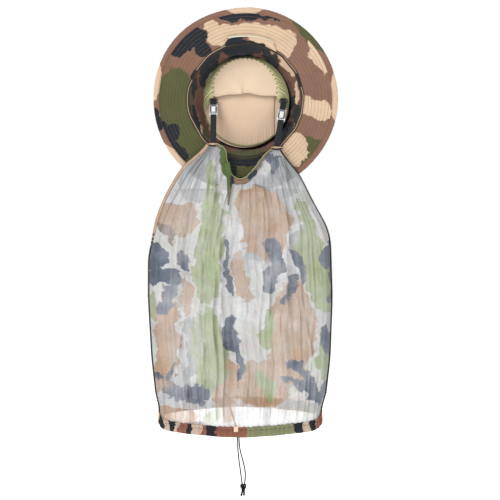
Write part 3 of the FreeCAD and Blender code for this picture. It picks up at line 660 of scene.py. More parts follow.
def net_finish(name, settings, patches, cover):
    """Sheer printed net: it hides more where it is printed dark, creased or seen edge-on."""
    material, make, shader = new_material(name)
    place = make.add("ShaderNodeTexCoord").outputs
    flat = make.add("ShaderNodeSeparateXYZ", {0: place["UV"]}).outputs
    cloth = make.add("ShaderNodeCombineXYZ", {0: flat[0], 2: flat[1]}).outputs[0]
    ground = (*settings.net_white, 1.0)
    tones = {tone: (*getattr(settings, "net_" + tone), 1.0)
             for tone in ("grey", "umber", "tan", "green", "black")}
    mottled = make.group("Random print", Coordinates=cloth, Scale=19.0 if patches else 13.0, Ground=ground,
                         Second=tones["tan"], Third=tones["green"], Fourth=tones["black"])[0]
    if patches:
        bent = make.group("Ragged edge", Coordinates=cloth, Scale=11.0, Reach=0.04)[0]
        shaken = make.group("Ragged edge", Coordinates=bent, Scale=30.0, Reach=0.03)[0]
        mottled = make.mix(0.22, ground, mottled)
        colour, dark = printed(make, shaken, mottled, tones, facing(patches))
        open_share = make.fit(dark, 0.0, 1.0, 1.0 - cover, 0.45 * (1.0 - cover))
    else:
        colour, open_share = mottled, 1.0 - cover
    clouds = make.noise(cloth, 16.0, 4.0, 0.6)[0]
    tinted = make.mix(make.math("MULTIPLY", make.fit(clouds, 0.35, 0.75), 0.5), colour, ground)
    dyed = make.group("Uneven dye", Colour=tinted, Coordinates=cloth, Scale=24.0, Amount=0.4)
    # The value read here darkens the colour and thickens the net: partly more layers of net, partly painted shade in
    # the fold valleys and beside the creases.
    folds = make.add("ShaderNodeAttribute", attribute_name="fullness_and_shade").outputs["Fac"]
    layered_and_shaded = make.scale(dyed["Colour"], make.fit(folds, 1.3, 3.4, 1.0, 0.62))
    make.put(shader.inputs["Base Color"], layered_and_shaded)
    creases = None
    for turn, size, scale in ((14, (1.0, 1.0, 0.3), 42.0), (-38, (1.0, 1.0, 0.35), 95.0)):
        turned = make.turn(cloth, math.radians(turn))
        cloudy = make.noise(make.vector("MULTIPLY", turned, size), scale, 3.0, 0.55)[0]
        ridge = make.math("ABSOLUTE", make.math("MULTIPLY_ADD", cloudy, 4.0, -2.0), clamp=True)
        creases = make.math("MULTIPLY_ADD", ridge, 0.45, creases) if creases else ridge
    mesh = make.group("Weave", Coordinates=place["UV"], Threads=900.0, Twill=0.2)
    uneven = make.math("SUBTRACT", 1.42, make.math("MULTIPLY", creases, 0.5))
    thick = make.math("MULTIPLY", make.math("MULTIPLY", folds, uneven), mesh["Shade"])
    through = make.math("POWER", open_share, thick)
    make.put(shader.inputs["Alpha"], make.math("SUBTRACT", 1.0, through, clamp=True))
    shader.inputs["Roughness"].default_value = 0.62
    shader.inputs["Sheen Weight"].default_value = 0.1
    shader.inputs["Specular IOR Level"].default_value = 0.3
    relief(make, shader, make.math("MULTIPLY_ADD", mesh["Height"], 0.1, creases), 2.2, 0.9)
    return material


def thread_finish(name, colour, strands=5200.0, depth=0.15):
    """Twisted sewing thread or braided cord."""
    material, make, shader = new_material(name)
    place = make.add("ShaderNodeTexCoord").outputs["Object"]
    twist = make.group("Twist", Coordinates=place, Strands=strands)
    dyed = make.group("Uneven dye", Colour=(*colour, 1.0), Coordinates=place, Scale=150.0, Amount=0.5)
    # The twist's shade darkens the grooves between strands and lightens their crowns: painted shade and light.
    make.put(shader.inputs["Base Color"], make.scale(dyed["Colour"], twist["Shade"]))
    shader.inputs["Roughness"].default_value = 0.75
    shader.inputs["Specular IOR Level"].default_value = 0.25
    relief(make, shader, twist["Height"], depth)
    return material


def metal_finish(name, colour, base, amount, metallic=1.0):
    """Plated or painted metal, with uneven gloss."""
    material, make, shader = new_material(name)
    place = make.add("ShaderNodeTexCoord").outputs["Object"]
    wear = make.group("Metal wear", Coordinates=place, Base=base, Amount=amount)
    dyed = make.group("Uneven dye", Colour=(*colour, 1.0), Coordinates=place, Scale=300.0, Amount=0.12)
    make.put(shader.inputs["Base Color"], dyed["Colour"])
    shader.inputs["Metallic"].default_value = metallic
    make.put(shader.inputs["Roughness"], wear["Roughness"])
    relief(make, shader, wear["Height"], 0.03)
    return material


def make_materials(settings):
    """Every finish of the object, by name."""
    brown = (*settings.brown, 1.0)
    tones = {tone: (*getattr(settings, tone), 1.0) for tone in ("green", "beige", "black")}
    hem_tones = {"tan": (0.46, 0.35, 0.27, 1.0), "brown": (*settings.rust, 1.0),
                 "green": (0.19, 0.2, 0.105, 1.0), "black": tones["black"]}
    cloth_finish("Brim underside cloth", patch_paint(brown, tones, facing(BRIM_PRINT_AND_SHADE)))
    cloth_finish("Brim binding tape", patch_paint(brown, tones, facing(BINDING_PRINT), 60.0, 0.008),
                 twill=0.9)
    # The crown's inside has a darker brown ground than the outside: painted shade inside the crown.
    shaded_brown = (0.13, 0.062, 0.04, 1.0)
    cloth_finish("Crown inside cloth", patch_paint(shaded_brown, tones, facing(CROWN_PRINT_AND_SHADE), 50.0, 0.014))
    cloth_finish("Hat outside cloth", random_paint(brown, tones))
    cloth_finish("Foliage webbing", tones["green"], threads=900.0, twill=0.1, depth=0.3)
    cloth_finish("Pocket cloth", (*settings.sand, 1.0), threads=2200.0, twill=0.8, amount=0.16, scale=22.0)
    cloth_finish("Pocket back cloth", (*settings.dark_sand, 1.0), threads=2200.0, twill=0.8, amount=0.2,
                 scale=22.0)
    cloth_finish("Gusset elastic", gathered_shade_paint(settings), threads=1200.0, twill=0.0, amount=0.5,
                 scale=80.0)
    cloth_finish("Green piping", (*settings.piping, 1.0), own_uv=False, twill=0.9, amount=0.3)
    cloth_finish("Seam tape", (*settings.seam, 1.0), threads=1500.0, twill=0.3, amount=0.5, scale=90.0)
    pale = (*settings.side_seam, 1.0)
    cloth_finish("Opening welt cloth", patch_paint(pale, tones, facing(WELT_PRINT), 50.0, 0.01),
                 own_uv=False, amount=0.6)
    cloth_finish("Pale piping", (0.62, 0.62, 0.46, 1.0), own_uv=False, twill=0.9, amount=0.4)
    # Near-black cloth for the dark seams of the net, and for painted shadow lines along the head opening and under the
    # top fold's edge.
    cloth_finish("Dark seam cloth", (0.035, 0.028, 0.02, 1.0), own_uv=False, twill=0.5, amount=0.6,
                 sheen=0.0)
    cloth_finish("Side seam cloth", pale, threads=1500.0, twill=0.3, amount=0.7, scale=110.0)
    cloth_finish("Inner stiffening", (0.6, 0.57, 0.5, 1.0), own_uv=False, amount=0.2)
    for name, own_uv in (("Black webbing", True), ("Black webbing tab", False)):
        cloth_finish(name, (*settings.webbing, 1.0), threads=1300.0, twill=0.4, amount=0.6, depth=0.35,
                     own_uv=own_uv, scale=120.0)
    cloth_finish("Hem cloth", patch_paint(tones["beige"], hem_tones, hem_patches(), 60.0, 0.014), twill=0.5,
                 amount=0.4)
    thread_finish("Brim thread", settings.brim_thread)
    thread_finish("Overlock thread", settings.overlock)
    thread_finish("Dark thread", settings.dark_thread)
    thread_finish("Gusset thread", (0.09, 0.095, 0.035))
    thread_finish("Drawcord braid", settings.cord, strands=3300.0, depth=0.3)
    metal_finish("Bright plating", (0.95, 0.95, 0.96), 0.22, 0.2, 0.45)
    metal_finish("Dark plating", (0.03, 0.03, 0.033), 0.3, 0.2, 0.3)
    metal_finish("Black ring paint", (0.02, 0.02, 0.02), 0.35, 0.2, 0.2)
    metal_finish("Black vent paint", (0.018, 0.017, 0.015), 0.3, 0.2, 0.3)
    net_finish("Front net", settings, NET_PRINT, settings.front_cover)
    net_finish("Back net", settings, None, settings.back_cover)
    cloth_finish("Doubled net", patch_paint(FOLD_GROUND, FOLD_TONES, facing(FOLD_PRINT), 60.0, 0.012),
                 threads=900.0, twill=0.2, amount=0.8, depth=0.4, sheen=0.0)


# ---- Stitches, set along paths by geometry nodes ----


def stitch_tree():
    """A tree that sets a short thread at even steps along every edge path it is given."""
    name = "Stitches along a path"
    if name in bpy.data.node_groups:
        return bpy.data.node_groups[name]
    tree = bpy.data.node_groups.new(name, "GeometryNodeTree")
    face = tree.interface
    face.new_socket("Geometry", in_out="INPUT", socket_type="NodeSocketGeometry")
    for label, default in (("Step", 0.003), ("Length", 0.0024), ("Thickness", 0.0005), ("Slant", 0.0)):
        face.new_socket(label, in_out="INPUT", socket_type="NodeSocketFloat").default_value = default
    face.new_socket("Thread", in_out="INPUT", socket_type="NodeSocketMaterial")
    face.new_socket("Geometry", in_out="OUTPUT", socket_type="NodeSocketGeometry")
    make = Maker(tree)
    given = tree.nodes.new("NodeGroupInput").outputs
    curve = make.add("GeometryNodeMeshToCurve", {0: given["Geometry"]}).outputs[0]
    evened = make.add("GeometryNodeResampleCurve", {"Curve": curve, "Length": given["Step"]},
                      mode="LENGTH").outputs[0]
    ahead = make.add("GeometryNodeInputTangent").outputs[0]
    across = make.add("GeometryNodeInputNamedAttribute", {"Name": "across"},
                      data_type="FLOAT_VECTOR").outputs[0]
    lined_up = make.add("FunctionNodeAlignRotationToVector", {"Vector": ahead}, axis="X").outputs[0]
    level = make.add("FunctionNodeAlignRotationToVector", {"Rotation": lined_up, "Vector": across},
                     axis="Y", pivot_axis="X").outputs[0]
    slant = make.add("ShaderNodeCombineXYZ", {2: given["Slant"]}).outputs[0]
    turned = make.add("FunctionNodeRotateRotation", {"Rotation": level, "Rotate By": slant},
                      rotation_space="LOCAL").outputs[0]
    bead = make.add("GeometryNodeMeshUVSphere", {"Segments": 6, "Rings": 4, "Radius": 0.5}).outputs[0]
    size = make.add("ShaderNodeCombineXYZ", {0: given["Length"], 1: given["Thickness"],
                                             2: given["Thickness"]}).outputs[0]
    thread = make.add("GeometryNodeInstanceOnPoints", {"Points": evened, "Instance": bead,
                                                       "Rotation": turned, "Scale": size}).outputs[0]
    solid = make.add("GeometryNodeRealizeInstances", {0: thread}).outputs[0]
    painted = make.add("GeometryNodeSetMaterial", {0: solid, "Material": given["Thread"]}).outputs[0]
    last = tree.nodes.new("NodeGroupOutput")
    make.put(last.inputs[0], painted)
    return tree


def stitched(name, paths, thread, step, length, thickness, slant=0.0):
    """Stitches along paths: each is (points in millimetres, across directions, whether it is closed)."""
    points, edges, across = [], [], []
    for path, sides, closed in paths:
        first = len(points)
        points += [tuple(p) for p in np.asarray(path, float) * MM]
        across += [tuple(s) for s in np.asarray(sides, float) * np.ones((len(path), 1))]
        edges += [(first + k, first + k + 1) for k in range(len(path) - 1)]
        if closed:
            edges.append((first + len(path) - 1, first))
    mesh = bpy.data.meshes.new(name)
    mesh.from_pydata(points, edges, [])
    layer = mesh.attributes.new("across", "FLOAT_VECTOR", "POINT")
    layer.data.foreach_set("vector", np.ravel(across))
    piece = linked(name, mesh)
    modifier = piece.modifiers.new("stitches", "NODES")
    modifier.node_group = stitch_tree()
    sizes = {"Step": step * MM, "Length": length * MM, "Thickness": thickness * MM,
             "Slant": math.radians(slant), "Thread": bpy.data.materials[thread]}
    for item in modifier.node_group.interface.items_tree:
        if item.in_out == "INPUT" and item.name in sizes:
            modifier[item.identifier] = sizes[item.name]
    applied(piece)
    piece.data.shade_smooth()
    return piece


# ---- Hat ----


def brim_y(radius):
    """The brim's underside, before it waves."""
    return -BRIM_DROP * (radius - HEAD_R) / (BRIM_R - HEAD_R)


def brim_wave(a, r, y):
    """The brim's soft waves, growing towards its edge."""
    share = np.clip((r - HEAD_R) / (BRIM_R - HEAD_R), 0, 1.05)
    rise = 2.0 * np.sin(2 * a + 0.6) + 1.2 * np.sin(3 * a + 2.1) + 0.6 * np.sin(7 * a + 1.0)
    out = 0.7 * np.sin(3 * a + 0.4) + 0.5 * np.sin(5 * a + 2.0)
    return r + out * share ** 2, y + rise * share ** 2


def brim_rows(settings):
    """Radii of the brim's rows of stitches."""
    return [HEAD_R + 4.5 + settings.row_step * k for k in range(settings.rows)]


def brim_sheet(name, settings, near, far, sign, material):
    """One cloth of the brim, drawn in along each row of stitches."""
    inner, outer = HEAD_R + CLOTH, BRIM_R - 0.9
    face = [(inner, brim_y(inner) + near)]
    for radius in brim_rows(settings):
        for shift, depth in ((-settings.row_step / 2, -0.3), (-0.8, 0.0), (0.0, 0.55), (0.8, 0.0)):
            at = radius + shift
            if inner + 0.5 < at < outer - 0.5:
                face.append((at, brim_y(at) + near + sign * depth))
    face.append((outer, brim_y(outer) + near))
    profile = face + [(outer, brim_y(outer) + far), (inner, brim_y(inner) + far)]
    return ring_piece(name, profile, 320, material, brim_wave)


def circle_path(radius, y, count=180, bend=None, start=0.0, end=2 * math.pi):
    """Points round the hat's own axis, with their outward directions."""
    closed = abs(end - start - 2 * math.pi) < 1e-6
    a = np.linspace(start, end, count, endpoint=not closed)
    r, y = radius * np.ones(count), y * np.ones(count)
    if bend:
        r, y = bend(a, r, y)
    points = np.stack([r * np.cos(a), y, r * np.sin(a)], axis=-1)
    sides = np.stack([np.cos(a), 0 * a, np.sin(a)], axis=-1)
    return points, sides, closed


def wall_r(y):
    """Inner radius of the crown's wall at a depth."""
    return HEAD_R - (HEAD_R - CROWN_TOP_R) * y / CROWN_H


def crumple(amount, scale, seed, fade=None):
    """A bend that moves a ring's cloth in and out by noise."""
    def bend(a, r, y):
        points = np.stack([r * np.cos(a), y, r * np.sin(a)], axis=-1)
        push = wobble(points, scale, seed).reshape(r.shape) * amount
        if fade:
            push = push * fade(y)
        return r + push, y
    return bend


class HEADNET_OT_brim(bpy.types.Operator):
    """Build the brim: both cloths, the binding tape and the rows of stitches"""
    bl_idname = "headnet.brim"
    bl_label = "Brim"

    def execute(self, context):
        settings = context.scene.headnet_hat
        under = brim_sheet("brim_underside", settings, 0.0, 0.9, 1, "Brim underside cloth")
        settle(under, "hat", "camo_cotton", "brim_underside_cloth")
        upper = brim_sheet("brim_topside", settings, BRIM_T, BRIM_T - 0.9, -1,
                           "Hat outside cloth")
        settle(upper, "hat", "camo_cotton", "brim_upper_cloth")
        near, far = HEAD_R + CLOTH, BRIM_R - 1.2
        profile = [(near, brim_y(near) + 0.95), (far, brim_y(far) + 0.95), (far, brim_y(far) + 2.05),
                   (near, brim_y(near) + 2.05)]
        stiffening = ring_piece("brim_stiffening", profile, 160, "Inner stiffening", brim_wave)
        settle(stiffening, "hat", "interlining", "brim_interlining")
        self.binding()
        self.stitches(settings)
        return {"FINISHED"}

    def binding(self):
        edge = BRIM_R - 0.3
        foot = BRIM_R - BINDING_W
        out = [(foot, -0.12), (foot + 0.3, -0.75), (foot + 3, -0.95), (edge - 2.2, -0.95), (edge - 0.6, -0.5),
               (edge, 0.6), (edge, 2.4), (edge - 0.6, 3.5), (edge - 2.2, 3.95), (foot + 3, 3.95),
               (foot + 0.3, 3.75), (foot, 3.12), (foot + 1.2, 3.06), (edge - 0.9, 3.06), (edge - 0.9, -0.06),
               (foot + 1.2, -0.06)]
        profile = [(r, brim_y(r) + y) for r, y in out]
        overlap = math.radians(84)

        def bend(a, r, y):
            r, y = brim_wave(a, r, y)
            lap = eased((a - overlap) / 0.006) * eased((overlap + 0.09 - a) / 0.006)
            pucker = 0.14 * np.sin(a * 150) + 0.1 * np.sin(a * 67 + 1.0)
            middle = brim_y(r) + BRIM_T / 2
            push = np.sign(y - middle) * (0.55 * lap + pucker)
            outer = np.clip(r - (BRIM_R - 3), 0, 3) / 3
            return r + (0.45 * lap + pucker) * outer, y + push * (np.abs(y - middle) > 1.8)
        tape = ring_piece("brim_binding", profile, 1200, "Brim binding tape", bend)
        settle(tape, "hat", "binding_tape", "brim_edge_binding")

    def stitches(self, settings):
        edge = BRIM_R - 8.6
        for name, lift, edge_lift in (("brim_underside_stitches", 0.35, -0.95),
                                      ("brim_topside_stitches", BRIM_T - 0.35, BRIM_T + 0.95)):
            paths = [circle_path(radius, brim_y(radius) + lift, bend=brim_wave)
                     for radius in brim_rows(settings) if radius < BRIM_R - BINDING_W - 1]
            paths.append(circle_path(edge, brim_y(edge) + edge_lift, bend=brim_wave))
            rows = stitched(name, paths, "Brim thread", *HAT_STITCH)
            settle(rows, "hat", "overlock_thread")


class HEADNET_OT_crown(bpy.types.Operator):
    """Build the crown: wall, top, sweatband, welts, foliage band and vents"""
    bl_idname = "headnet.crown"
    bl_label = "Crown"

    def execute(self, context):
        settings = context.scene.headnet_hat
        self.wall(settings)
        self.top()
        self.sweatband(settings)
        self.lip()
        self.foliage()
        repaint("crown_seam_piping", "Hat outside cloth")
        repaint("vent_eyelets", "Black vent paint")
        return {"FINISHED"}

    def wall(self, settings):
        levels = np.linspace(0.0, CROWN_H, 30)
        inner = [(wall_r(y), y) for y in levels]
        outer = [(wall_r(y) + CLOTH, y) for y in reversed(levels)]

        def fade(y):
            return eased(y / 22) * eased((CROWN_H - y) / 12) * (1 - 0.85 * np.exp(-((y - 32.5) / 11) ** 2))
        crumpled = crumple(settings.crown_folds, 24, 1, fade)

        def bend(a, r, y):
            turn = np.arctan2(np.sin(a - math.pi - 0.15), np.cos(a - math.pi - 0.15))
            lean = 10.5 * np.exp(-(turn / 0.75) ** 2) + 3.0 * np.exp(-((turn - 2.6) / 0.5) ** 2)
            crease = 1.4 * np.sin(a * 23 + 2.0 * np.sin(a * 5)) * np.exp(-((y - 40) / 14) ** 2)
            r, y = crumpled(a, r, y)
            return r - lean * np.exp(-((y - 44) / 11) ** 2) - crease, y
        half = len(levels)
        profile = inner + outer
        wall = ring_piece("crown_wall", profile, WALL_SEGMENTS, "Crown inside cloth", bend)
        wall.data.materials.append(bpy.data.materials["Hat outside cloth"])
        for face in wall.data.polygons:
            row = min(face.vertices) // WALL_SEGMENTS
            face.material_index = int(half - 1 <= row < 2 * half - 1)
        settle(wall, "hat", "camo_cotton", "crown_side")
        paths = [circle_path(wall_r(y) + CLOTH + 0.1, y, 200) for y in (CROWN_H - 3.5, 27.5)]
        rows = stitched("crown_outside_stitches", paths, "Brim thread", *HAT_STITCH)
        settle(rows, "hat", "overlock_thread")

    def top(self):
        edge = CROWN_TOP_R + CLOTH
        shares = np.linspace(1.0, 0.03, 26)
        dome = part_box("crown_top")[1].y / MM - CROWN_H - CLOTH
        outer = [(edge * s, CROWN_H + CLOTH + dome * (1 - s ** 2.2)) for s in shares]
        inner = [(edge * s, CROWN_H + dome * (1 - s ** 2.2)) for s in reversed(shares)]

        def bend(a, r, y):
            points = np.stack([r * np.cos(a), 0 * y, r * np.sin(a)], axis=-1)
            dent = wobble(points, 34, 4).reshape(r.shape) * 1.1 * eased((edge - r) / 20)
            return r, y + dent
        top = ring_piece("crown_tip", outer + inner, 160, "Hat outside cloth", bend)
        settle(top, "hat", "camo_cotton", "crown_top")

    def sweatband(self, settings):
        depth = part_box("sweatband")[1].y / MM
        levels = np.linspace(1.0, depth, 14)
        inner = [(wall_r(y) - 1.6, y) for y in levels]
        outer = [(wall_r(y) - 0.4, y) for y in reversed(levels)]

        def bend(a, r, y):
            share = eased((y - 3) / (depth - 3))
            sag = 3.4 + 2.0 * np.sin(4 * a + 0.7) + 1.3 * np.sin(7 * a + 2.2) + 0.9 * np.sin(17 * a)
            tuck = 1.1 * triangle_wave(a * 7.1 + 0.35 * np.sin(a * 4)) * share * (1 - 0.4 * share)
            return r - settings.sweatband_sag * (sag * share + tuck), y + 0.8 * share * np.sin(5 * a + 1)
        band = ring_piece("sweatband_cloth", inner + outer, 300, "Crown inside cloth", bend)
        settle(band, "hat", "camo_cotton", "sweatband")
        # The two near-black rings either side of the pale welt are painted shadow lines along the edge of the head
        # opening.
        for name, radius, y, thick, finish in (
                ("sweatband_edge_piping", wall_r(depth) - 1.0, depth, 0.8, "Crown inside cloth"),
                ("head_opening_inner_shadow_line", HEAD_R - 1.3, -0.2, 1.6, "Dark seam cloth"),
                ("head_opening_outer_shadow_line", HEAD_R + 2.0, -0.5, 0.8, "Dark seam cloth"),
                ("head_opening_welt", HEAD_R + 0.6, -1.2, 0.62, "Opening welt cloth")):
            last = 408 if "welt" in name else 470
            points, sides, _ = circle_path(radius, y, 300, bend if y > 1 else crumple(2.2, 24, 6),
                                           math.radians(110), math.radians(last))
            welt = swept(name, points, sides, round_section(thick, 8), finish, last == 470)
            settle(welt, "hat", "binding_tape")
        row = stitched("head_opening_stitches", [circle_path(HEAD_R + 2.2, brim_y(HEAD_R + 2) - 0.1, 220)],
                       "Dark thread", 2.8, 2.1, 0.5)
        settle(row, "hat", "overlock_thread")

    def lip(self):
        """Seam allowance that stands out of the opening at its top, with a pale edge."""
        count = 70
        a = np.linspace(math.radians(57), math.radians(112), count)
        share = np.minimum(1, np.sin(math.pi * np.linspace(0, 1, count)) * 2.2) ** 0.7
        rows = []
        for out, y in ((-2.0, 1.5), (1.5, -4.0), (6.0, -5.8), (11.0, -5.6), (11.6, -4.6), (6.0, -4.6),
                       (1.0, -2.4)):
            r = HEAD_R + out * share + 0.5 * np.sin(a * 11)
            rows.append(np.stack([r * np.cos(a), y * share + 0.5 * np.sin(a * 16), r * np.sin(a)], axis=-1))
        uv = np.stack([np.tile(a * HEAD_R, len(rows)), np.repeat(np.arange(len(rows)) * 4.0, count)], axis=-1)
        faces = quads(len(rows), count, True)
        faces.append(tuple(i * count for i in range(len(rows))))
        faces.append(tuple(i * count + count - 1 for i in reversed(range(len(rows)))))
        fold = add_mesh("opening_top_fold", np.concatenate(rows), faces, "Crown inside cloth", uv)
        settle(turn_out(fold), "hat", "camo_cotton")
        edge = (rows[3] + rows[4])[7:-9] / 2 + np.array([0, -0.5, 0])
        sides = edge / np.linalg.norm(edge, axis=1)[:, None]
        grow = np.linspace(0.55, 1.35, len(edge))[:, None, None]
        section = np.array(round_section(1.0, 8))[None] * grow
        piping = swept("opening_fold_piping", edge, sides, section, "Pale piping")
        settle(piping, "hat", "green_piping")
        # A near-black cord just under the pale edge is a painted shadow line beneath the fold.
        under = edge - sides * 1.9 + np.array([0, 1.2, 0])
        seam = swept("opening_fold_shadow_line", under, sides, round_section(1.0, 8), "Dark seam cloth")
        settle(seam, "hat", "binding_tape")

    def foliage(self):
        low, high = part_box("foliage_band")[0].y / MM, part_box("foliage_band")[1].y / MM
        loops = 16
        middle = (low + high) / 2
        half_w = (high - low) / 2 - 0.6
        a = np.linspace(0, 2 * math.pi, 480, endpoint=False)
        rise = 2.4 * np.abs(np.sin(a * loops / 2)) ** 0.7
        lean = math.atan2(HEAD_R - CROWN_TOP_R, CROWN_H)
        r = wall_r(middle) + CLOTH + 0.9 + rise
        points = np.stack([r * np.cos(a), middle + 0 * a, r * np.sin(a)], axis=-1)
        sides = np.stack([-math.sin(lean) * np.cos(a), math.cos(lean) + 0 * a, -math.sin(lean) * np.sin(a)],
                         axis=-1)
        band = swept("foliage_loops", points, sides, rounded_strip(2 * half_w, 1.1, 4),
                     "Foliage webbing", True)
        settle(band, "hat", "olive_webbing", "foliage_band")
        paths = []
        for k in range(loops):
            at = 2 * math.pi * k / loops
            radial = np.array([math.cos(at), 0, math.sin(at)])
            ys = np.linspace(low + 2, high - 2, 8)
            line = [radial * (wall_r(y) + CLOTH + 1.75) + np.array([0, y, 0]) for y in ys]
            paths.append((line, (-math.sin(at), 0, math.cos(at)), False))
        tacks = stitched("foliage_tacks", paths, "Dark thread", 0.9, 2.4, 0.5, 90)
        settle(tacks, "hat", "overlock_thread")


class HEADNET_OT_pocket(bpy.types.Operator):
    """Build the crown lining and the pocket that the net is stowed in"""
    bl_idname = "headnet.pocket"
    bl_label = "Lining and pocket"

    def execute(self, context):
        settings = context.scene.headnet_hat
        self.panel(settings)
        self.shield()
        self.gusset(settings)
        a = np.linspace(0, 2 * math.pi, 240, endpoint=False)
        ring = np.stack([RING_X + RING_HALF_X * np.cos(a), LINING_Y - 1.6 + 0.5 * np.sin(5 * a),
                         RING_Z + RING_HALF_Z * np.sin(a)], axis=-1)
        piping = swept("lining_edge_piping", ring, ring - np.array([RING_X, LINING_Y, RING_Z]),
                       round_section(1.35, 10), "Green piping", True)
        settle(piping, "hat", "green_piping", "lining_piping")
        repaint("crown_lining", "Pocket back cloth")
        return {"FINISHED"}

    def panel(self, settings):
        """The pocket's front, slack at its mouth."""
        rows, columns = 70, 90
        half = math.sqrt(POCKET_R ** 2 - (MOUTH_Z - POCKET_Z) ** 2)
        points, uv = [], []
        for i in range(rows):
            share = i / (rows - 1)
            for j in range(columns):
                s = -math.cos(math.pi * j / (columns - 1))
                peak = 6.0 * (1 - abs(s)) ** 1.3
                mouth_z = MOUTH_Z - 2.0 + peak + 0.8 * math.sin(9 * s)
                end = math.sqrt(max(POCKET_R ** 2 - (half * s) ** 2, 0.0)) + POCKET_Z
                z = mouth_z + (end - mouth_z) * share
                x = POCKET_X + half * s * (1 + 0.055 * math.sin(math.pi * min(share * 1.2, 1)) * (1 - s * s))
                y = POCKET_Y + 0.5
                fan = math.atan2(x + 4, z - MOUTH_Z + 5)
                reach = math.hypot(x + 4, z - MOUTH_Z - 8)
                crease = 2.2 * math.sin(fan * 5 + 0.6) * math.exp(-reach / 30) * (1 - share ** 3)
                sag = -settings.pocket_sag * math.exp(-share * 5) * (1 - s ** 4)
                y += crease + sag + 1.2 * math.sin(math.pi * share) * (1 - s * s) * -1
                y += 0.5 * noise.noise(Vector((x / 16, z / 22, 3)))
                points.append((x, y, z))
                uv.append((x, z))
        front = thickened(add_mesh("pocket_front", points, quads(rows, columns), "Pocket cloth", uv), 0.9)
        settle(front, "hat", "sand_cotton", "pocket_panel", "pocket_mouth_hem")
        mouth = np.array(points[:columns]) + np.array([0, -0.7, 2.6])
        row = stitched("pocket_mouth_stitches", [(mouth[3:-3], (0, 0, 1), False)], "Overlock thread", 2.6,
                       2.0, 0.45)
        settle(row, "hat", "overlock_thread")

    def shield(self):
        """The panel behind the pocket, gathered where it meets the lining's piping."""
        low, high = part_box("pocket_back_panel")
        half = (high.x - low.x) / 2 / MM
        middle = (low.x + high.x) / 2 / MM
        rows, columns = 90, 110
        points, uv = [], []
        for i in range(rows):
            share = i / (rows - 1)
            for j in range(columns):
                s = 2 * j / (columns - 1) - 1
                x = middle + (half + (3.5 if s > 0 else 0)) * s
                out = (x - RING_X) / (RING_HALF_X - 0.8)
                bottom = RING_Z - (RING_HALF_Z - 0.8) * math.sqrt(1 - out * out)
                z = bottom + (MOUTH_Z + 24 - bottom) * share
                near = math.exp(-share * 9)
                y = low.y / MM - 0.2 - 3.2 * math.sin(math.pi * min(share * 1.25, 1)) * (1 - s ** 4)
                gather = max(0.0, math.sin(x * 0.42 + 1.5 * math.sin(x * 0.17))) ** 3
                y -= (1.1 * gather + 0.25 * math.sin(x * 1.3)) * near
                y += 0.5 * noise.noise(Vector((x / 20, z / 26, 9)))
                points.append((x, y, z))
                uv.append((x, z))
        back = thickened(add_mesh("pocket_back", points, quads(rows, columns), "Pocket back cloth", uv), 0.8)
        settle(back, "hat", "sand_cotton", "pocket_back_panel")

    def gusset(self, settings):
        """Ruched elastic from the pocket's edge back to the lining's piping."""
        start = math.asin((MOUTH_Z - POCKET_Z) / POCKET_R)
        columns, rows = 1000, 17
        a = np.linspace(start - 0.06, math.pi - start + 0.06, columns)
        wander = 0.55 * np.sin(a * 9) + 0.4 * np.sin(a * 17 + 1.3) + 0.3 * np.sin(a * 31)
        out = np.stack([np.cos(a), 0 * a, np.sin(a)])
        along = np.stack([-np.sin(a), 0 * a, np.cos(a)])
        near = np.stack([POCKET_X + (POCKET_R - 0.6) * out[0], POCKET_Y - 0.4 + 0 * a,
                         POCKET_Z + (POCKET_R - 0.6) * out[2]])
        far = np.stack([RING_X + (RING_HALF_X - 0.6) * out[0], LINING_Y - 1.4 + 0 * a,
                        RING_Z + (RING_HALF_Z - 0.6) * out[2]])
        points, uv, raised = [], [], []
        for i in range(rows):
            share = i / (rows - 1)
            phase = a * settings.gathers / 2 + wander + 0.5 * np.sin(share * 4 + a * 6)
            puff = np.abs(np.sin(phase)) ** 0.7
            height = math.sin(math.pi * share) ** 0.5
            place = near + (far - near) * share
            place[1] -= (0.2 + 3.0 * puff) * height + 0.6 * math.sin(math.pi * share)
            place = place + along * 0.7 * np.sin(phase * 2) * height
            points.append(place.T)
            uv.append(np.stack([a * 66, 22 * share + 0 * a], axis=-1))
            raised.append(1 - height * (1 - puff) ** 1.2 - 0.35 * (1 - height))
        piece = add_mesh("ruched_gusset", np.concatenate(points), quads(rows, columns),
                         "Gusset elastic", np.concatenate(uv),
                         {"raised": np.concatenate(raised)})
        settle(thickened(piece, 0.5), "hat", "green_gusset", "pocket_gusset")
        scallop = 0.5 * np.sin(a * settings.gathers / 2)
        edge = (near + out * (0.3 + scallop)).T[::4] + np.array([0, -1.0, 0])
        loops = stitched("gusset_loops", [(edge, out.T[::4], False)], "Gusset thread", 8.0, 4.2, 1.6, 70)
        settle(loops, "hat", "overlock_thread")


# ---- Straps and buckles ----


def strap_axes(side):
    """A strap's top in millimetres, and its unit directions across, behind and up."""
    top = Vector(JOINTS[side + "_strap_swing"]["pos_m"]) / MM
    up = -Vector(JOINTS[side + "_strap_length"]["axis"]).normalized()
    behind = up.cross(X_AXIS).normalized()
    return top, behind.cross(up), behind, up


def polished(name, node, finish, width=0.22):
    """A copy of a metal node with its edges rounded."""
    mesh = NODES[node].data.copy()
    work = bmesh.new()
    work.from_mesh(mesh)
    bmesh.ops.remove_doubles(work, verts=work.verts, dist=0.00001)
    bmesh.ops.dissolve_limit(work, angle_limit=math.radians(2), verts=work.verts, edges=work.edges)
    work.to_mesh(mesh)
    work.free()
    mesh.name = name
    mesh.materials.clear()
    mesh.materials.append(bpy.data.materials[finish])
    piece = linked(name, mesh)
    bevel = piece.modifiers.new("edges", "BEVEL")
    bevel.width = width * MM
    bevel.segments = 2
    bevel.limit_method = "ANGLE"
    bevel.angle_limit = math.radians(35)
    applied(piece)
    piece.data.shade_smooth()
    return piece


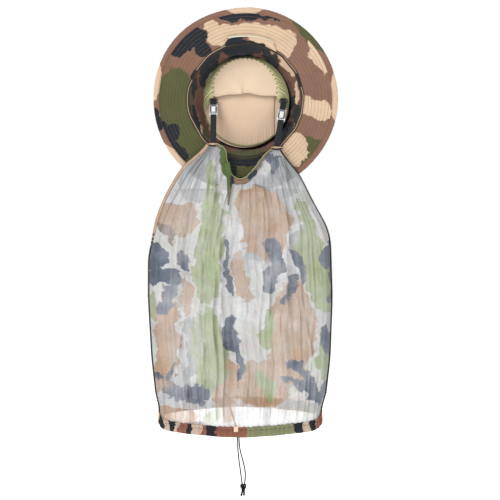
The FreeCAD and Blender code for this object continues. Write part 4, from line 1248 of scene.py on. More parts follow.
class HEADNET_OT_straps(bpy.types.Operator):
    """Build both straps: webbing, buckles, anchors and their stitching"""
    bl_idname = "headnet.straps"
    bl_label = "Straps and buckles"

    def execute(self, context):
        settings = context.scene.headnet_strap
        for side in ("left", "right"):
            self.webbing(side, settings)
            self.buckle(side)
            repaint(side + "_anchor_ring", "Black ring paint")
            repaint(side + "_buckle_pin", "Bright plating")
            repaint(side + "_anchor_tab", "Black webbing tab")
        return {"FINISHED"}

    def placed(self, side, points):
        """Points of (across, behind, up) in a strap's own directions, in the frame."""
        top, across, behind, up = strap_axes(side)
        return np.array([top + across * x + behind * y + up * z for x, y, z in points])

    def webbing(self, side, settings):
        top, across, _, up = strap_axes(side)
        section = rounded_strip(settings.width, settings.thickness, 5)
        pin = Vector(JOINTS[side + "_lever_open"]["pos_m"]) / MM
        bar = (pin - top).dot(up) + BUCKLE_MIDDLE + BUCKLE_BAR
        ends = [(Vector(v.co) / MM - top).dot(up) for v in NODES[side + "_lower_strap"].data.vertices]
        lower = [(0, 0, max(ends)), (0, 0, max(ends) - 8), (0, 0.2, (max(ends) + min(ends)) / 2),
                 (0, 0, min(ends) + 6), (0, -0.2, min(ends))]
        path = smooth_path(self.placed(side, lower), 50)
        strip = swept(side + "_webbing_lower", path, across, section, "Black webbing")
        settle(strip, side + "_webbing", "black_webbing", side + "_lower_strap")

        loop = [(0, 1.5 * math.cos(t), 1.5 * math.sin(t)) for t in np.linspace(math.pi * 0.35, math.pi, 8)]
        upper = loop + [(0, -0.6, -3.0), (0, -0.1, bar - 0.4), (0, 0.1, bar - 1.6)]
        turn = [(0, 1.7 - 1.6 * math.cos(t), bar - 1.6 - 1.6 * math.sin(t))
                for t in np.linspace(0.4, math.pi - 0.3, 6)]
        tail = [(0, 3.4, bar - 0.5), (0, 3.3, bar + 6.5)]
        path = smooth_path(self.placed(side, upper + turn + tail), 90)
        strip = swept(side + "_webbing_upper", path, across, section, "Black webbing")
        settle(strip, side + "_strap", "black_webbing", side + "_upper_strap")
        box_rows = []
        for z in (bar + 3.2, bar + 4.6):
            row = self.placed(side, [(x, -0.95, z) for x in np.linspace(-3.8, 3.8, 8)])
            box_rows.append((row, tuple(up), False))
        tack = stitched(side + "_webbing_tack", box_rows, "Dark thread", 0.8, 1.3, 0.35, 70)
        settle(tack, side + "_strap", "overlock_thread")

    def buckle(self, side):
        frame_piece = polished(side + "_buckle_body", side + "_buckle_frame", "Bright plating")
        settle(frame_piece, side + "_strap", "bright_metal", side + "_buckle_frame")
        lever = polished(side + "_buckle_cam", side + "_buckle_lever", "Bright plating", 0.18)
        settle(lever, side + "_lever", "bright_metal", side + "_buckle_lever")
        self.groove(side)

    def groove(self, side):
        """The dark groove round the middle of a buckle's lever."""
        top, across, behind, up = strap_axes(side)
        local = np.array([[(Vector(v.co) / MM - top).dot(way) for way in (across, behind, up)]
                          for v in NODES[side + "_buckle_lever"].data.vertices])
        low, high = local.min(axis=0), local.max(axis=0)
        middle, half = (low + high) / 2, (high - low) / 2 - 2.3
        t = np.linspace(0, 2 * math.pi, 72, endpoint=False)
        c, d = np.cos(t), np.sin(t)
        x = middle[0] + half[0] * np.sign(c) * np.abs(c) ** 0.35
        z = middle[2] + half[2] * np.sign(d) * np.abs(d) ** 0.35
        ring = self.placed(side, np.stack([x, 0 * t + low[1] + 0.05, z], axis=-1))
        centre = ring.mean(axis=0)
        groove = swept(side + "_buckle_groove", ring, ring - centre, rounded_strip(1.5, 0.5),
                       "Dark plating", True)
        settle(groove, side + "_lever", "bright_metal")


# ---- Veil ----


def bag_row(z):
    """The bag's cross-section at heights z, with the corners between its rows smoothed."""
    rows = np.array(BAG, float)[::-1]
    z = np.asarray(z, float)
    parts = []
    for k in range(1, 6):
        values = 0
        for shift, weight in ((-14, 0.15), (-7, 0.2), (0, 0.3), (7, 0.2), (14, 0.15)):
            values = values + weight * np.interp(z + shift, rows[:, 0], rows[:, k])
        parts.append(values)
    return parts


def triangle_wave(phase):
    """Creases at even steps: from -1 to 1 and back, softened a little."""
    share = phase - np.floor(phase)
    sharp = 1 - 4 * np.abs(share - 0.5)
    return 0.6 * sharp + 0.4 * np.sin(2 * math.pi * (phase - 0.25))


def hem_z(y):
    """Height of the hem's lower edge, which rises towards the back."""
    return HEM_LOW_Z + HEM_RISE * (y - HEM_Y + HEM_HALF_D) / (2 * HEM_HALF_D)


def hem_outline(count=900):
    """The hem's outer line, at its lower edge, all the way round."""
    tree = BVHTree.FromObject(NODES["hem_casing"], bpy.context.evaluated_depsgraph_get())
    path = []
    for k in range(count):
        a = 2 * math.pi * k / count
        away = np.array([math.cos(a) * HEM_HALF_W * 1.5, math.sin(a) * HEM_HALF_D * 1.5])
        inward = Vector((*(-away / np.linalg.norm(away)), 0))
        edge = HEM_Y + HEM_HALF_D * math.sin(a)
        for _ in range(3):
            start = Vector((away[0] + HEM_X, away[1] + HEM_Y, hem_z(edge) + HEM_H / 2 - 2)) * MM
            hit = tree.ray_cast(start, inward)[0]
            edge = hit.y / MM
        path.append((hit.x / MM, edge, hem_z(edge)))
    return np.array(path)


def outward(path):
    """Level unit directions out of a closed path that runs anticlockwise."""
    ahead = np.roll(path, -1, axis=0) - np.roll(path, 1, axis=0)
    outs = np.cross(ahead, np.array([0.0, 0.0, 1.0]))
    return outs / np.linalg.norm(outs, axis=1)[:, None]


def hem_foot(u, front):
    """Where the net goes into the hem, from -1 at its left end to 1 at its right: x, y and z."""
    path = hem_outline()
    inner = path - outward(path) * HEM_TUCK
    left, right = inner[:, 0].min(), inner[:, 0].max()
    half = inner[inner[:, 1] < HEM_Y] if front else inner[inner[:, 1] >= HEM_Y]
    half = half[np.argsort(half[:, 0])]
    x = (left + right) / 2 + (right - left) / 2 * u
    y = np.interp(x, [left, *half[:, 0], right], [HEM_Y, *half[:, 1], HEM_Y])
    return x, y, hem_z(y) + HEM_H - HEM_LAP


def bag_bulge(s):
    """How far out the bag's cross-section is, from 0 at its sides to 1 in the middle."""
    return np.maximum(0.0, 1 - np.abs(s) ** BAG_SQUARE) ** (1 / BAG_SQUARE)


def fullness_and_shade(piece, thinnest, extra=0.0):
    """How much cloth the eye looks through at each point, more where the net stands edge-on, plus the extra, which
    holds more layers of net and painted shade in the folds.
    """
    mesh = piece.data
    normals = np.zeros(len(mesh.vertices) * 3, np.float32)
    mesh.vertices.foreach_get("normal", normals)
    facing = np.abs(normals.reshape(-1, 3)[:, 1])
    amount = 0.8 / np.maximum(facing, thinnest) + 0.2 + np.ravel(extra)
    mesh.attributes.new("fullness_and_shade", "FLOAT", "POINT").data.foreach_set("value", amount.astype(np.float32))


def net_grid(columns, rows):
    """How far across and down the cloth each point is, closer together at its sides."""
    u = -np.cos(np.linspace(0, math.pi, columns))
    u = 0.45 * u + 0.55 * np.linspace(-1, 1, columns)
    v = np.linspace(0, 1, rows) ** 1.12
    return np.meshgrid(u, v)


def net_folds(u, z, down, seed, sharp):
    """How far the folds push the net out at each place, in millimetres, and how much painted shade lies in their
    valleys.
    """
    flat = np.stack([u * 60, z * 0.35, 0 * u + seed * 40], axis=-1)
    drift = wobble(flat, 30, seed).reshape(u.shape) * 0.05
    line = u + drift
    spread = eased(down / 150)
    hem_pull = eased((z - (HEM_LOW_Z + 75)) / 60)
    broad = 4.4 * triangle_wave(line * 2.35 + 0.31 + seed) + 3.2 * triangle_wave(line * 4.1 + 0.62)
    medium = 1.9 * triangle_wave(line * 8.3 + 0.17 + seed) + 1.2 * triangle_wave(line * 13.7 + 0.4)
    small = 0.9 * triangle_wave(line * 23.0 + seed)
    near_hem = 1 - hem_pull
    push = broad * (0.12 + 0.88 * spread) * (1 - 0.35 * near_hem)
    push = push + medium * (0.35 + 0.65 * eased(down / 70)) * sharp
    push = push + small * (0.5 * (1 - spread) + 0.28 + 0.9 * near_hem) * sharp
    rough = np.stack([u * 150, z * 0.6, 0 * u + seed * 90], axis=-1)
    push = push + 1.6 * wobble(rough, 14, seed + 2).reshape(u.shape)
    push = push + 0.8 * wobble(rough, 6, seed + 3).reshape(u.shape)
    valley_shade = np.clip(0.1 - broad / 7.5, 0, 1) ** 1.5 * (0.3 + 0.7 * spread)
    valley_shade = valley_shade + 0.5 * np.clip(-triangle_wave(line * 8.3 + 0.17 + seed), 0, 1) ** 2 * sharp
    return push, valley_shade


class HEADNET_OT_net(bpy.types.Operator):
    """Build the net bag: front and back panels, with their seams and edgings"""
    bl_idname = "headnet.net"
    bl_label = "Net"

    def execute(self, context):
        settings = context.scene.headnet_veil
        top_edge, sides = self.front(settings)
        self.back(settings)
        self.neck(top_edge)
        self.seams(sides)
        self.ties()
        return {"FINISHED"}

    def front(self, settings):
        columns, rows = 261, 330
        u, v = net_grid(columns, rows)
        knots = smooth_path([(k[0] * 100, k[1], k[2]) for k in NECK], 240)
        top_x = np.interp(u, knots[:, 0] / 100, knots[:, 1])
        top_z = np.interp(u, knots[:, 0] / 100, knots[:, 2])
        foot_x, foot_y, foot_z = hem_foot(u, True)
        z = top_z + (foot_z - top_z) * v
        left0, right0, _, _, _ = bag_row(top_z)
        s_top = (top_x - (left0 + right0) / 2) / ((right0 - left0) / 2)
        share = eased((top_z - z) / (top_z - FULL_WIDTH_Z))
        share = np.maximum(share, eased((top_z - z) / 45) * np.abs(u) ** 10)
        s = s_top + (u - s_top) * share
        left, right, front, _, side_y = bag_row(z)
        half = (right - left) / 2 - SEAM_INSET
        s = np.clip(s, -1, 1)
        x = (left + right) / 2 + half * s
        low = eased(1 - (z - foot_z) / 40)
        x = x + (foot_x - x) * low
        y = side_y - front * bag_bulge(s)
        low = eased(1 - (z - foot_z) / 70)
        y = y + (foot_y - y) * low
        down = top_z - z
        pinned = eased(down / 9) * eased((z - foot_z - 2) / 20)
        edge = eased((1 - np.abs(u)) / 0.06)
        push, valley_shade = net_folds(u, z, down, 0.0, 1.0)
        shadow = 0 * u
        for neck_x, hem_x, width, depth in NET_CREASES:
            line = neck_x + (hem_x - neck_x) * (top_z - z) / (top_z - foot_z) + 2.5 * np.sin(z / 37 + neck_x)
            fade = eased(down / 40) * eased((z - foot_z) / (60 + abs(neck_x))) * 0.8
            push = push + depth * np.exp(-((x - line) / width) ** 2) * fade
            shadow = shadow + np.exp(-((x - line - width * 1.15) / (width * 0.7)) ** 2) * (0.3 + fade)
        push = push * settings.folds
        y = y - push * (0.2 * eased((z - foot_z) / 40) + 0.8 * pinned) * edge * 0.9
        cloth_x = x.copy()
        x = x + 0.55 * np.gradient(push, axis=1) / np.maximum(np.gradient(x, axis=1), 0.4) * edge
        points = np.stack([x, y, z], axis=-1)
        uv = np.stack([cloth_x, z], axis=-1).reshape(-1, 2)
        piece = add_mesh("veil_front", points.reshape(-1, 3), quads(rows, columns),
                         "Front net", uv)
        doubled = np.exp(-((cloth_x + 52 + 4 * np.sin(z / 50)) / 5.5) ** 2) * eased((z + 470) / 60)
        at_sides = 0.5 * eased((-u - 0.72) / 0.12) + 0.35 * eased((u - 0.72) / 0.12)
        gathered = 0.8 * np.exp(-down / 60) + at_sides
        near_neck = np.exp(-down / 7) * (np.abs(u) < 0.55)
        strip = np.exp(-((u + 0.105) / 0.03) ** 2) * eased(down / 20) * eased((z + 500) / 60)
        tie_folds = np.exp(-((np.abs(u + 0.03) - 0.6) / 0.12) ** 2) * np.exp(-down / 60)
        sides = 1.1 * eased((np.abs(u) - 0.86) / 0.12)
        extra = 1.4 * near_neck + 1.0 * strip + 0.9 * tie_folds + 0.6 * np.exp(-(z - foot_z) / 12) + sides
        fullness_and_shade(piece, 0.3, extra + gathered + 0.9 * doubled + (0.75 * valley_shade + 0.7 * shadow) * edge - 0.2)
        settle(piece, "veil", "camo_net", "veil_front_panel")
        return points[0], (points[:, 0], points[:, -1])

    def back(self, settings):
        columns, rows = 221, 240
        u, v = net_grid(columns, rows)
        s = u
        foot_x, foot_y, foot_z = hem_foot(u, False)
        top_z = BACK_TOP_Z + 0 * u
        z = top_z + (foot_z - top_z) * v
        left, right, _, back, side_y = bag_row(z)
        x = (left + right) / 2 + ((right - left) / 2 - SEAM_INSET) * s
        x = x + (foot_x - x) * eased(1 - (z - foot_z) / 40)
        y = side_y + back * bag_bulge(s)
        low = eased(1 - (z - foot_z) / 70)
        y = y + (foot_y - y) * low
        down = top_z - z
        edge = eased((1 - np.abs(u)) / 0.06) * (0.2 + 0.8 * eased(down / 40)) * eased((z - foot_z) / 14 + 0.2)
        room = np.clip(back / 16, 0.12, 1)
        push, valley_shade = net_folds(u, z, down + 40, 0.47, 0.8)
        y = y + push * settings.folds * edge * room * 0.8
        points = np.stack([x, y, z], axis=-1)
        faces = [face[::-1] for face in quads(rows, columns)]
        uv = np.stack([x, z], axis=-1).reshape(-1, 2)
        piece = add_mesh("veil_back", points.reshape(-1, 3), faces, "Back net", uv)
        fullness_and_shade(piece, 0.35, 0.4 * valley_shade)
        settle(piece, "veil", "camo_net", "veil_back_panel")
        edge_path = points[0][6:-6:3] + np.array([0, 0.1, 0.4])
        hem = swept("veil_back_edging_band", edge_path, (0, 0, 1), rounded_strip(1.6, 0.6),
                    "Side seam cloth")
        settle(hem, "veil", "overlock_thread", "veil_back_edging")
        loops = stitched("veil_back_overlock", [(edge_path, (0, 0, 1), False)], "Overlock thread", 1.9, 2.2,
                         0.4, 78)
        settle(loops, "veil", "overlock_thread")

    def neck(self, top_edge):
        inner = top_edge[(top_edge[:, 0] > -47) & (top_edge[:, 0] < 45)]
        path = smooth_path(inner[::3], 150) + np.array([0, -0.3, 0])
        ahead = path_frames(path)
        sides = np.cross(ahead, np.array([0.0, 1.0, 0.0]))
        path = path + sides * -0.4
        band = swept("neck_binding", path, sides, rounded_strip(2.6, 1.0), "Green piping")
        settle(band, "veil", "overlock_thread", "veil_neck_edging")
        loops = stitched("neck_overlock", [(path, sides, False)], "Overlock thread", 1.7, 3.4, 0.75, 76)
        settle(loops, "veil", "overlock_thread")
        share = np.linspace(0, 1, len(path))
        width = np.interp(share, [0, 0.12, 0.3, 0.42, 0.55, 0.7, 0.85, 1.0],
                          [3.0, 8.5, 12.0, 10.0, 8.5, 6.5, 3.5, 2.0])
        wavy = width + 0.9 * np.sin(share * 60)
        out = sides if sides[len(sides) // 2][2] < 0 else -sides
        middle = path + out * (wavy / 2 + 0.2)[:, None] + np.array([0, -2.0, 0])
        base = rounded_strip(2.0, 1.5)
        fold = swept("neck_fold", middle, out, widened(base, wavy / 2), "Doubled net")
        settle(fold, "veil", "camo_net")
        hang = np.array([(-31, 0, -108), (-28, 0, -126), (-26.5, 0, -142), (-27, 0, -158), (-28.5, 0, -180)])
        left, right, front, _, side_y = bag_row(hang[:, 2])
        across = (hang[:, 0] - (left + right) / 2) / ((right - left) / 2)
        hang[:, 1] = side_y - front * bag_bulge(across) - 4.5
        path = smooth_path(hang, 40)
        slim = np.interp(np.linspace(0, 1, 40), [0, 0.5, 1], [5.0, 4.2, 1.2])
        tail = swept("neck_fold_tail", path, (1, 0, 0), widened(base, slim), "Doubled net")
        settle(tail, "veil", "camo_net")

    def seams(self, sides):
        for side, edge in zip(("left", "right"), sides):
            path = smooth_path(edge[::4], 260)
            sign = -1 if side == "left" else 1
            width = np.where(path[:, 2] > -225, 6.4 if side == "left" else 3.0, 4.0)
            width = np.convolve(np.pad(width, 12, mode="edge"), np.ones(25) / 25, mode="valid")
            section = widened(rounded_strip(2.0, 1.6), width / 2)
            across = np.cross(path_frames(path), np.array([0.0, 1.0, 0.0]))
            path = path + across * (width / 2 - 1.4)[:, None] * sign
            finish = "Side seam cloth" if side == "left" else "Dark seam cloth"
            band = swept(side + "_side_band", path, across, section, finish)
            band.data.materials.append(bpy.data.materials["Dark seam cloth"])
            for face in band.data.polygons:
                face.material_index = int(face.center.z < -0.235 + 0.012 * math.sin(face.center.z * 900))
            settle(band, "veil", "overlock_thread" if side == "left" else "camo_net",
                   "veil_" + side + "_seam")
            inner = path - np.array([0.0, 0.9, 0.0]) - np.array([sign, 0, 0]) * (width * 0.33)[:, None]
            outer = path - np.array([0.0, 0.5, 0.0]) + np.array([sign, 0, 0]) * (width * 0.46)[:, None]
            rows = stitched(side + "_ladder_stitches", [(inner, across, False), (outer, across, False)],
                            "Dark thread", 3.0, 2.8, 0.8, 62)
            settle(rows, "veil", "overlock_thread")

    def ties(self):
        for side in ("left", "right"):
            low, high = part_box(side + "_tie")
            x0, x1 = low.x / MM - 0.5, high.x / MM + 0.5
            y, z = (low.y + high.y) / 2 / MM - 0.2, (low.z + high.z) / 2 / MM
            xs = np.linspace(x0, x1, 24)
            sag = 1.5 * (1 - ((xs - (x0 + x1) / 2) / ((x1 - x0) / 2)) ** 2)
            path = np.stack([xs, y + 0.5 - 0.5 * sag, z + 0.6 - sag], axis=-1)
            tie = swept(side + "_tie_elastic", path, (0, 0, 1), rounded_strip(2.8, 1.9, 2),
                        "Black webbing")
            settle(tie, "veil", "black_webbing", side + "_tie")
            self.frill(side, x0, x1, y, z)

    def frill(self, side, x0, x1, y, z):
        """The gathered header of the net above a tie."""
        columns, rows = 120, 12
        points, uv = [], []
        for i in range(rows):
            share = i / (rows - 1)
            for j in range(columns):
                s = j / (columns - 1)
                wave = math.sin(s * 44 + 0.6 * math.sin(s * 13)) * (0.35 + 0.75 * share)
                fan = 1 + 0.12 * share
                x = (x0 + x1) / 2 + (x1 - x0) / 2 * (2 * s - 1) * fan
                top = 4.4 + 0.7 * math.sin(s * 44 + 1.2) + 0.8 * math.sin(math.pi * s)
                points.append((x, y + 1.2 + wave, z - 1.5 + top * share))
                uv.append((s * 70, share * 6))
        frill = add_mesh(side + "_tie_frill", points, quads(rows, columns), "Seam tape", uv)
        settle(thickened(frill, 0.35), "veil", "overlock_thread")


class HEADNET_OT_hem(bpy.types.Operator):
    """Build the hem casing round the bag's opening, with its join tab"""
    bl_idname = "headnet.hem"
    bl_label = "Hem casing"

    def execute(self, context):
        path = hem_outline()
        count = len(path)
        outs = outward(path)
        length = np.concatenate([[0], np.cumsum(np.linalg.norm(np.diff(path, axis=0), axis=1))])
        section = [(-0.6, 18.2), (-0.2, 15.5), (-0.3, 13.6), (-1.1, 12.4), (-0.2, 11.0), (0.4, 8.5),
                   (0.5, 6.0), (0.1, 3.2), (-0.9, 1.2), (-2.5, 0.4), (-4.1, 1.0), (-5.1, 3.4), (-5.3, 6.0), (-4.9, 9.0),
                   (-3.9, 11.2), (-2.5, 12.4), (-2.2, 14.5), (-1.7, 18.0)]
        points, uv = [], []
        around = 0.0
        for index, (out, up) in enumerate(section):
            pucker = np.sin(length * 0.78 + 1.3 * np.sin(length * 0.11)) + 0.6 * np.sin(length * 1.9 + 0.8)
            grow = 0.8 if 0 < up < 17 else 0.45
            slack = 0.9 * np.sin(length * 0.052) + 0.5 * np.sin(length * 0.13 + 1)
            sideways = out + grow * pucker * (1 if out > -2.4 else -0.6)
            lift = up + (0.5 * pucker + 0.4 * np.sin(length * 0.33)) * (up > 15)
            place = path + outs * sideways[:, None] + np.array([0, 0, 1]) * (lift + slack * 0.4)[:, None]
            points.append(place)
            uv.append(np.stack([length, around + 0 * length], axis=-1))
            if index + 1 < len(section):
                around += math.hypot(section[index + 1][0] - out, section[index + 1][1] - up)
        faces = quads(len(section), count, True, True)
        casing = turn_out(add_mesh("hem_gathered", np.concatenate(points), faces,
                                   "Hem cloth", np.concatenate(uv)))
        settle(casing, "veil", "hem_cloth", "hem_casing")
        line = path + outs * -0.2 + np.array([0, 0, 12.4])
        rows = stitched("hem_stitches", [(line, (0, 0, 1), True)], "Dark thread", 2.6, 2.0, 0.45)
        settle(rows, "veil", "overlock_thread")
        self.tab()
        repaint("drawcord_in_hem", "Drawcord braid")
        return {"FINISHED"}

    def tab(self):
        """A slanting tape down the front net, ending in a small square on the hem."""
        low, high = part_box("hem_join_tab")
        x, y = (low.x + high.x) / 2 / MM, low.y / MM
        square = [(x, y + 0.4, low.z / MM + t) for t in np.linspace(0, (high.z - low.z) / MM, 10)]
        tab = swept("hem_join_square", square, (1, 0, 0), rounded_strip(7.6, 1.0, 2), "Seam tape")
        settle(tab, "veil", "sand_cotton", "hem_join_tab")
        line = smooth_path([(-34, -36, -494), (-27, -42, -512), (-20, -46.5, -533),
                            (x + 0.5, y + 3.4, -550)], 40)
        strip = swept("net_join_strip", line, (1, 0, 0.3), rounded_strip(3.4, 0.8, 1),
                      "Side seam cloth")
        settle(strip, "veil", "overlock_thread")


# ---- Drawcord ----


def strand_curve(name, route):
    """A cord along its route's points, as one smooth curve."""
    curve = bpy.data.curves.new(name, "CURVE")
    curve.dimensions = "3D"
    spline = curve.splines.new("NURBS")
    spline.points.add(len(route) - 1)
    for point, place in zip(spline.points, route):
        point.co = (*[c * MM for c in place], 1)
    spline.order_u = 3
    spline.use_endpoint_u = True
    curve.resolution_u = 12
    curve.bevel_depth = CORD_R * MM
    curve.bevel_resolution = 4
    curve.use_fill_caps = True
    curve.materials.append(bpy.data.materials["Drawcord braid"])
    return linked(name, curve)


class HEADNET_OT_drawcord(bpy.types.Operator):
    """Build the drawcord's free strands, their knot and its tails"""
    bl_idname = "headnet.drawcord"
    bl_label = "Drawcord"

    def execute(self, context):
        knot = self.knot()
        tails = self.tails()
        for name, route, length in (("cord_strand_left", LEFT_STRAND, 0.0835),
                                    ("cord_strand_right", RIGHT_STRAND, 0.084)):
            strand = strand_curve(name, route)
            node = "drawcord_left_strand" if "left" in name else "drawcord_right_strand"
            settle(strand, "veil", "black_cord", node)
        return {"FINISHED"}

    def knot(self):
        """Both strands wound once round themselves and pulled tight."""
        parts = []
        for turn, size in ((0.0, 1.0), (0.5, 0.86)):
            t = np.linspace(0, 2 * math.pi, 96, endpoint=False)
            x = (np.sin(t) + 2 * np.sin(2 * t)) * 1.5 * size
            z = (np.cos(t) - 2 * np.cos(2 * t)) * 2.6 * size
            y = -np.sin(3 * t) * 1.7 * size
            path = np.stack([x * math.cos(turn) - y * math.sin(turn),
                             x * math.sin(turn) + y * math.cos(turn), z], axis=-1) + np.array(KNOT_CENTRE)
            side = path - np.array(KNOT_CENTRE)
            parts.append(swept("knot_part", path, side + 0.01, round_section(CORD_R),
                               "Drawcord braid", True))
        knot = joined("cord_knot", parts)
        return settle(knot, "veil", "black_cord", "drawcord_knot")

    def tails(self):
        parts = []
        for route in TAILS:
            path = smooth_path(route, 14)
            fray = np.array(round_section(CORD_R))[None] * np.linspace(1.1, 1.6, 14)[:, None, None]
            parts.append(swept("tail_part", path, (1, 0.2, 0), fray, "Drawcord braid"))
        tails = joined("cord_tails", parts)
        return settle(tails, "veil", "black_cord", "drawcord_tails")


def joined(name, parts):
    """Several pieces as one mesh."""
    work = bmesh.new()
    for part in parts:
        work.from_mesh(part.data)
    mesh = bpy.data.meshes.new(name)
    work.to_mesh(mesh)
    work.free()
    for material in parts[0].data.materials:
        mesh.materials.append(material)
    for part in parts:
        bpy.data.objects.remove(part)
    mesh.shade_smooth()
    return linked(name, mesh)


# ---- Stage ----


class HEADNET_OT_stage(bpy.types.Operator):
    """Set up the floor, the soft light and the camera"""
    bl_idname = "headnet.stage"
    bl_label = "Stage"

    def execute(self, context):
        settings = context.scene.headnet_stage
        self.floor()
        self.light(settings)
        camera = bpy.data.cameras.new("camera")
        camera.lens = 36.0 * settings.distance / settings.view_width
        camera.clip_end = 60
        eye = linked("camera", camera)
        eye.location = (settings.centre[0], -settings.distance, settings.centre[1])
        eye.rotation_euler = (math.pi / 2, 0, 0)
        bpy.context.scene.camera = eye
        bpy.context.scene.view_settings.view_transform = "Standard"
        return {"FINISHED"}

    def floor(self):
        _, make, shader = new_material("Pale floor")
        place = make.add("ShaderNodeTexCoord").outputs["Object"]
        dyed = make.group("Uneven dye", Colour=(0.9, 0.9, 0.9, 1), Coordinates=place, Scale=3.0, Amount=0.03)
        make.put(shader.inputs["Base Color"], dyed["Colour"])
        shader.inputs["Roughness"].default_value = 0.9
        shader.inputs["Specular IOR Level"].default_value = 0.1
        shader.inputs["Emission Color"].default_value = (1, 1, 1, 1)
        shader.inputs["Emission Strength"].default_value = 0.75
        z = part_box("drawcord_tails")[0].z / MM - 40
        reach = 9000
        corners = [(-reach, -reach, z), (reach, -reach, z), (reach, reach, z), (-reach, reach, z)]
        floor = add_mesh("floor", corners, [(0, 1, 2, 3)], "Pale floor")

    def light(self, settings):
        world = bpy.data.worlds.new("soft light")
        world.use_nodes = True
        make = Maker(world.node_tree)
        world.node_tree.nodes.clear()
        seen = make.add("ShaderNodeBackground", {"Color": (1, 1, 1, 1), "Strength": 1.0}).outputs[0]
        given = make.add("ShaderNodeBackground", {"Color": (1, 1, 1, 1), "Strength": settings.sky}).outputs[0]
        path = make.add("ShaderNodeLightPath").outputs["Is Camera Ray"]
        both = make.add("ShaderNodeMixShader", {0: path, 1: given, 2: seen}).outputs[0]
        output = make.add("ShaderNodeOutputWorld")
        make.put(output.inputs[0], both)
        bpy.context.scene.world = world
        for name, place, power, size in (("key", (-1.6, -2.4, 1.3), settings.key, 1.6),
                                         ("fill", (2.0, -2.0, 0.2), settings.fill, 2.0)):
            lamp = bpy.data.lights.new(name, "AREA")
            lamp.energy = power
            lamp.size = size
            piece = linked(name, lamp)
            piece.location = place
            aim = Vector((0, 0, -0.2)) - Vector(place)
            piece.rotation_euler = aim.to_track_quat("-Z", "Y").to_euler()


# ---- What a user may change ----


def colour(name, description, value):
    return FloatVectorProperty(name=name, description=description, default=value, subtype="COLOR",
                               min=0.0, max=1.0)


class HatSettings(bpy.types.PropertyGroup):
    """Sizes and colours of the hat."""
    row_step: FloatProperty(name="Row step", description="Between rows of stitches on the brim, in mm",
                            default=5.7, min=2.0)
    rows: IntProperty(name="Rows", description="Rows of stitches on the brim", default=8, min=1)
    crown_folds: FloatProperty(name="Crown folds", description="Depth of the crown's folds, in mm",
                               default=2.0)
    sweatband_sag: FloatProperty(name="Sweatband sag", description="How slack the sweatband's edge is",
                                 default=1.0, min=0.0)
    pocket_sag: FloatProperty(name="Pocket sag", description="How far the pocket's mouth stands out, in mm",
                              default=2.2)
    gathers: IntProperty(name="Gathers", description="Gathers in the pocket's gusset", default=74, min=8)
    brown: colour("Brown", "Ground of the print", (0.195, 0.102, 0.07))
    green: colour("Green", "Green of the print", (0.072, 0.076, 0.027))
    beige: colour("Beige", "Beige of the print", (0.55, 0.4, 0.275))
    black: colour("Black", "Black of the print", (0.009, 0.012, 0.017))
    sand: colour("Sand", "Pocket panel", (0.69, 0.54, 0.39))
    dark_sand: colour("Dark sand", "Panel behind the pocket", (0.68, 0.505, 0.36))
    gusset: colour("Gusset", "Ruched elastic", (0.62, 0.6, 0.33))
    piping: colour("Piping", "Lining piping", (0.33, 0.36, 0.17))
    seam: colour("Seam", "Seam tapes", (0.68, 0.5, 0.36))
    side_seam: colour("Side seam", "Tape of the net's left seam", (0.43, 0.30, 0.205))
    rust: colour("Rust", "Red-brown of the hem", (0.22, 0.085, 0.055))
    webbing: colour("Webbing", "Black webbing", (0.016, 0.018, 0.022))
    brim_thread: colour("Brim thread", "Thread of the brim's rows", (0.2, 0.155, 0.1))
    overlock: colour("Overlock", "Thread of the overlocked edges", (0.6, 0.54, 0.33))
    dark_thread: colour("Dark thread", "Dark sewing thread", (0.05, 0.045, 0.035))
    cord: colour("Cord", "Drawcord", (0.014, 0.011, 0.006))
    net_white: colour("Net ground", "Unprinted net", (0.6, 0.6, 0.61))
    net_tan: colour("Net tan", "Tan print on the net", (0.43, 0.28, 0.18))
    net_grey: colour("Net grey", "Grey print on the net", (0.36, 0.37, 0.385))
    net_umber: colour("Net umber", "Dark brown print on the net", (0.2, 0.135, 0.11))
    net_green: colour("Net green", "Green print on the net", (0.29, 0.35, 0.17))
    net_black: colour("Net black", "Dark print on the net", (0.09, 0.11, 0.15))
    front_cover: FloatProperty(name="Front cover", description="Share of the light that the front net stops",
                               default=0.55, min=0.0, max=1.0)
    back_cover: FloatProperty(name="Back cover", description="Share of the light that the back net stops",
                              default=0.6, min=0.0, max=1.0)


class StrapSettings(bpy.types.PropertyGroup):
    """Sizes of the straps."""
    width: FloatProperty(name="Width", description="Width of the webbing, in mm", default=10.0, min=1.0)
    thickness: FloatProperty(name="Thickness", description="Thickness of the webbing, in mm", default=1.4,
                             min=0.2)


class VeilSettings(bpy.types.PropertyGroup):
    """How the net hangs."""
    folds: FloatProperty(name="Folds", description="Depth of the net's folds, 1 being as hung", default=1.0,
                         min=0.0)


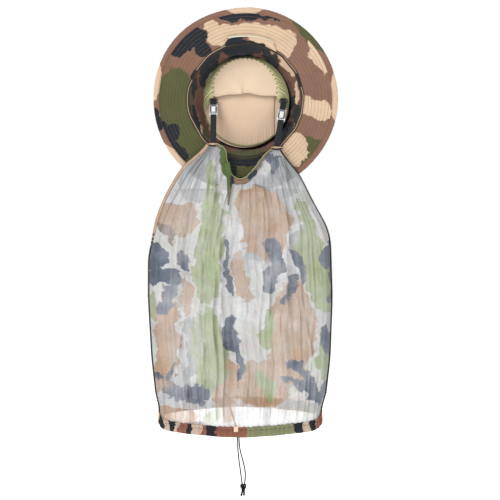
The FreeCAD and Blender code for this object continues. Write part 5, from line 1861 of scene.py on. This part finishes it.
class StageSettings(bpy.types.PropertyGroup):
    """The camera and the light."""
    distance: FloatProperty(name="Distance", description="From the camera to the hat's opening", default=2.0,
                            unit="LENGTH")
    view_width: FloatProperty(name="View width", description="Width of the view at the opening",
                              default=0.85, unit="LENGTH")
    centre: FloatVectorProperty(name="Centre", description="What the camera looks at: x and z", size=2,
                                default=(0.0078, -0.2549), subtype="XYZ_LENGTH")
    sky: FloatProperty(name="Sky", description="Strength of the light from all round", default=0.62)
    key: FloatProperty(name="Key", description="Power of the lamp at the upper left", default=58.0,
                       unit="POWER")
    fill: FloatProperty(name="Fill", description="Power of the lamp at the right", default=9.0, unit="POWER")


OPERATORS = (HEADNET_OT_brim, HEADNET_OT_crown, HEADNET_OT_pocket, HEADNET_OT_straps, HEADNET_OT_net,
             HEADNET_OT_hem, HEADNET_OT_drawcord, HEADNET_OT_stage)
SETTINGS = {"headnet_hat": HatSettings, "headnet_strap": StrapSettings, "headnet_veil": VeilSettings,
            "headnet_stage": StageSettings}


class HEADNET_PT_panel(bpy.types.Panel):
    """Lists the pieces and their settings"""
    bl_idname = "HEADNET_PT_panel"
    bl_label = "Head Net"
    bl_space_type = "VIEW_3D"
    bl_region_type = "UI"
    bl_category = "Head Net"

    def draw(self, context):
        for name, kind in SETTINGS.items():
            column = self.layout.box().column(align=True)
            for key in kind.__annotations__:
                column.prop(getattr(context.scene, name), key)
        for operator in OPERATORS:
            self.layout.operator(operator.bl_idname)


def register():
    for kind in (*SETTINGS.values(), *OPERATORS, HEADNET_PT_panel):
        bpy.utils.register_class(kind)
    for name, kind in SETTINGS.items():
        setattr(bpy.types.Scene, name, PointerProperty(type=kind))


def unregister():
    for name in SETTINGS:
        delattr(bpy.types.Scene, name)
    for kind in reversed((*SETTINGS.values(), *OPERATORS, HEADNET_PT_panel)):
        bpy.utils.unregister_class(kind)


def main():
    register()
    make_groups()
    hat = bpy.context.scene.headnet_hat
    make_materials(hat)
    for operator in OPERATORS:
        group, name = operator.bl_idname.split(".")
        getattr(getattr(bpy.ops, group), name)()


if __name__ == "__main__":
    main()
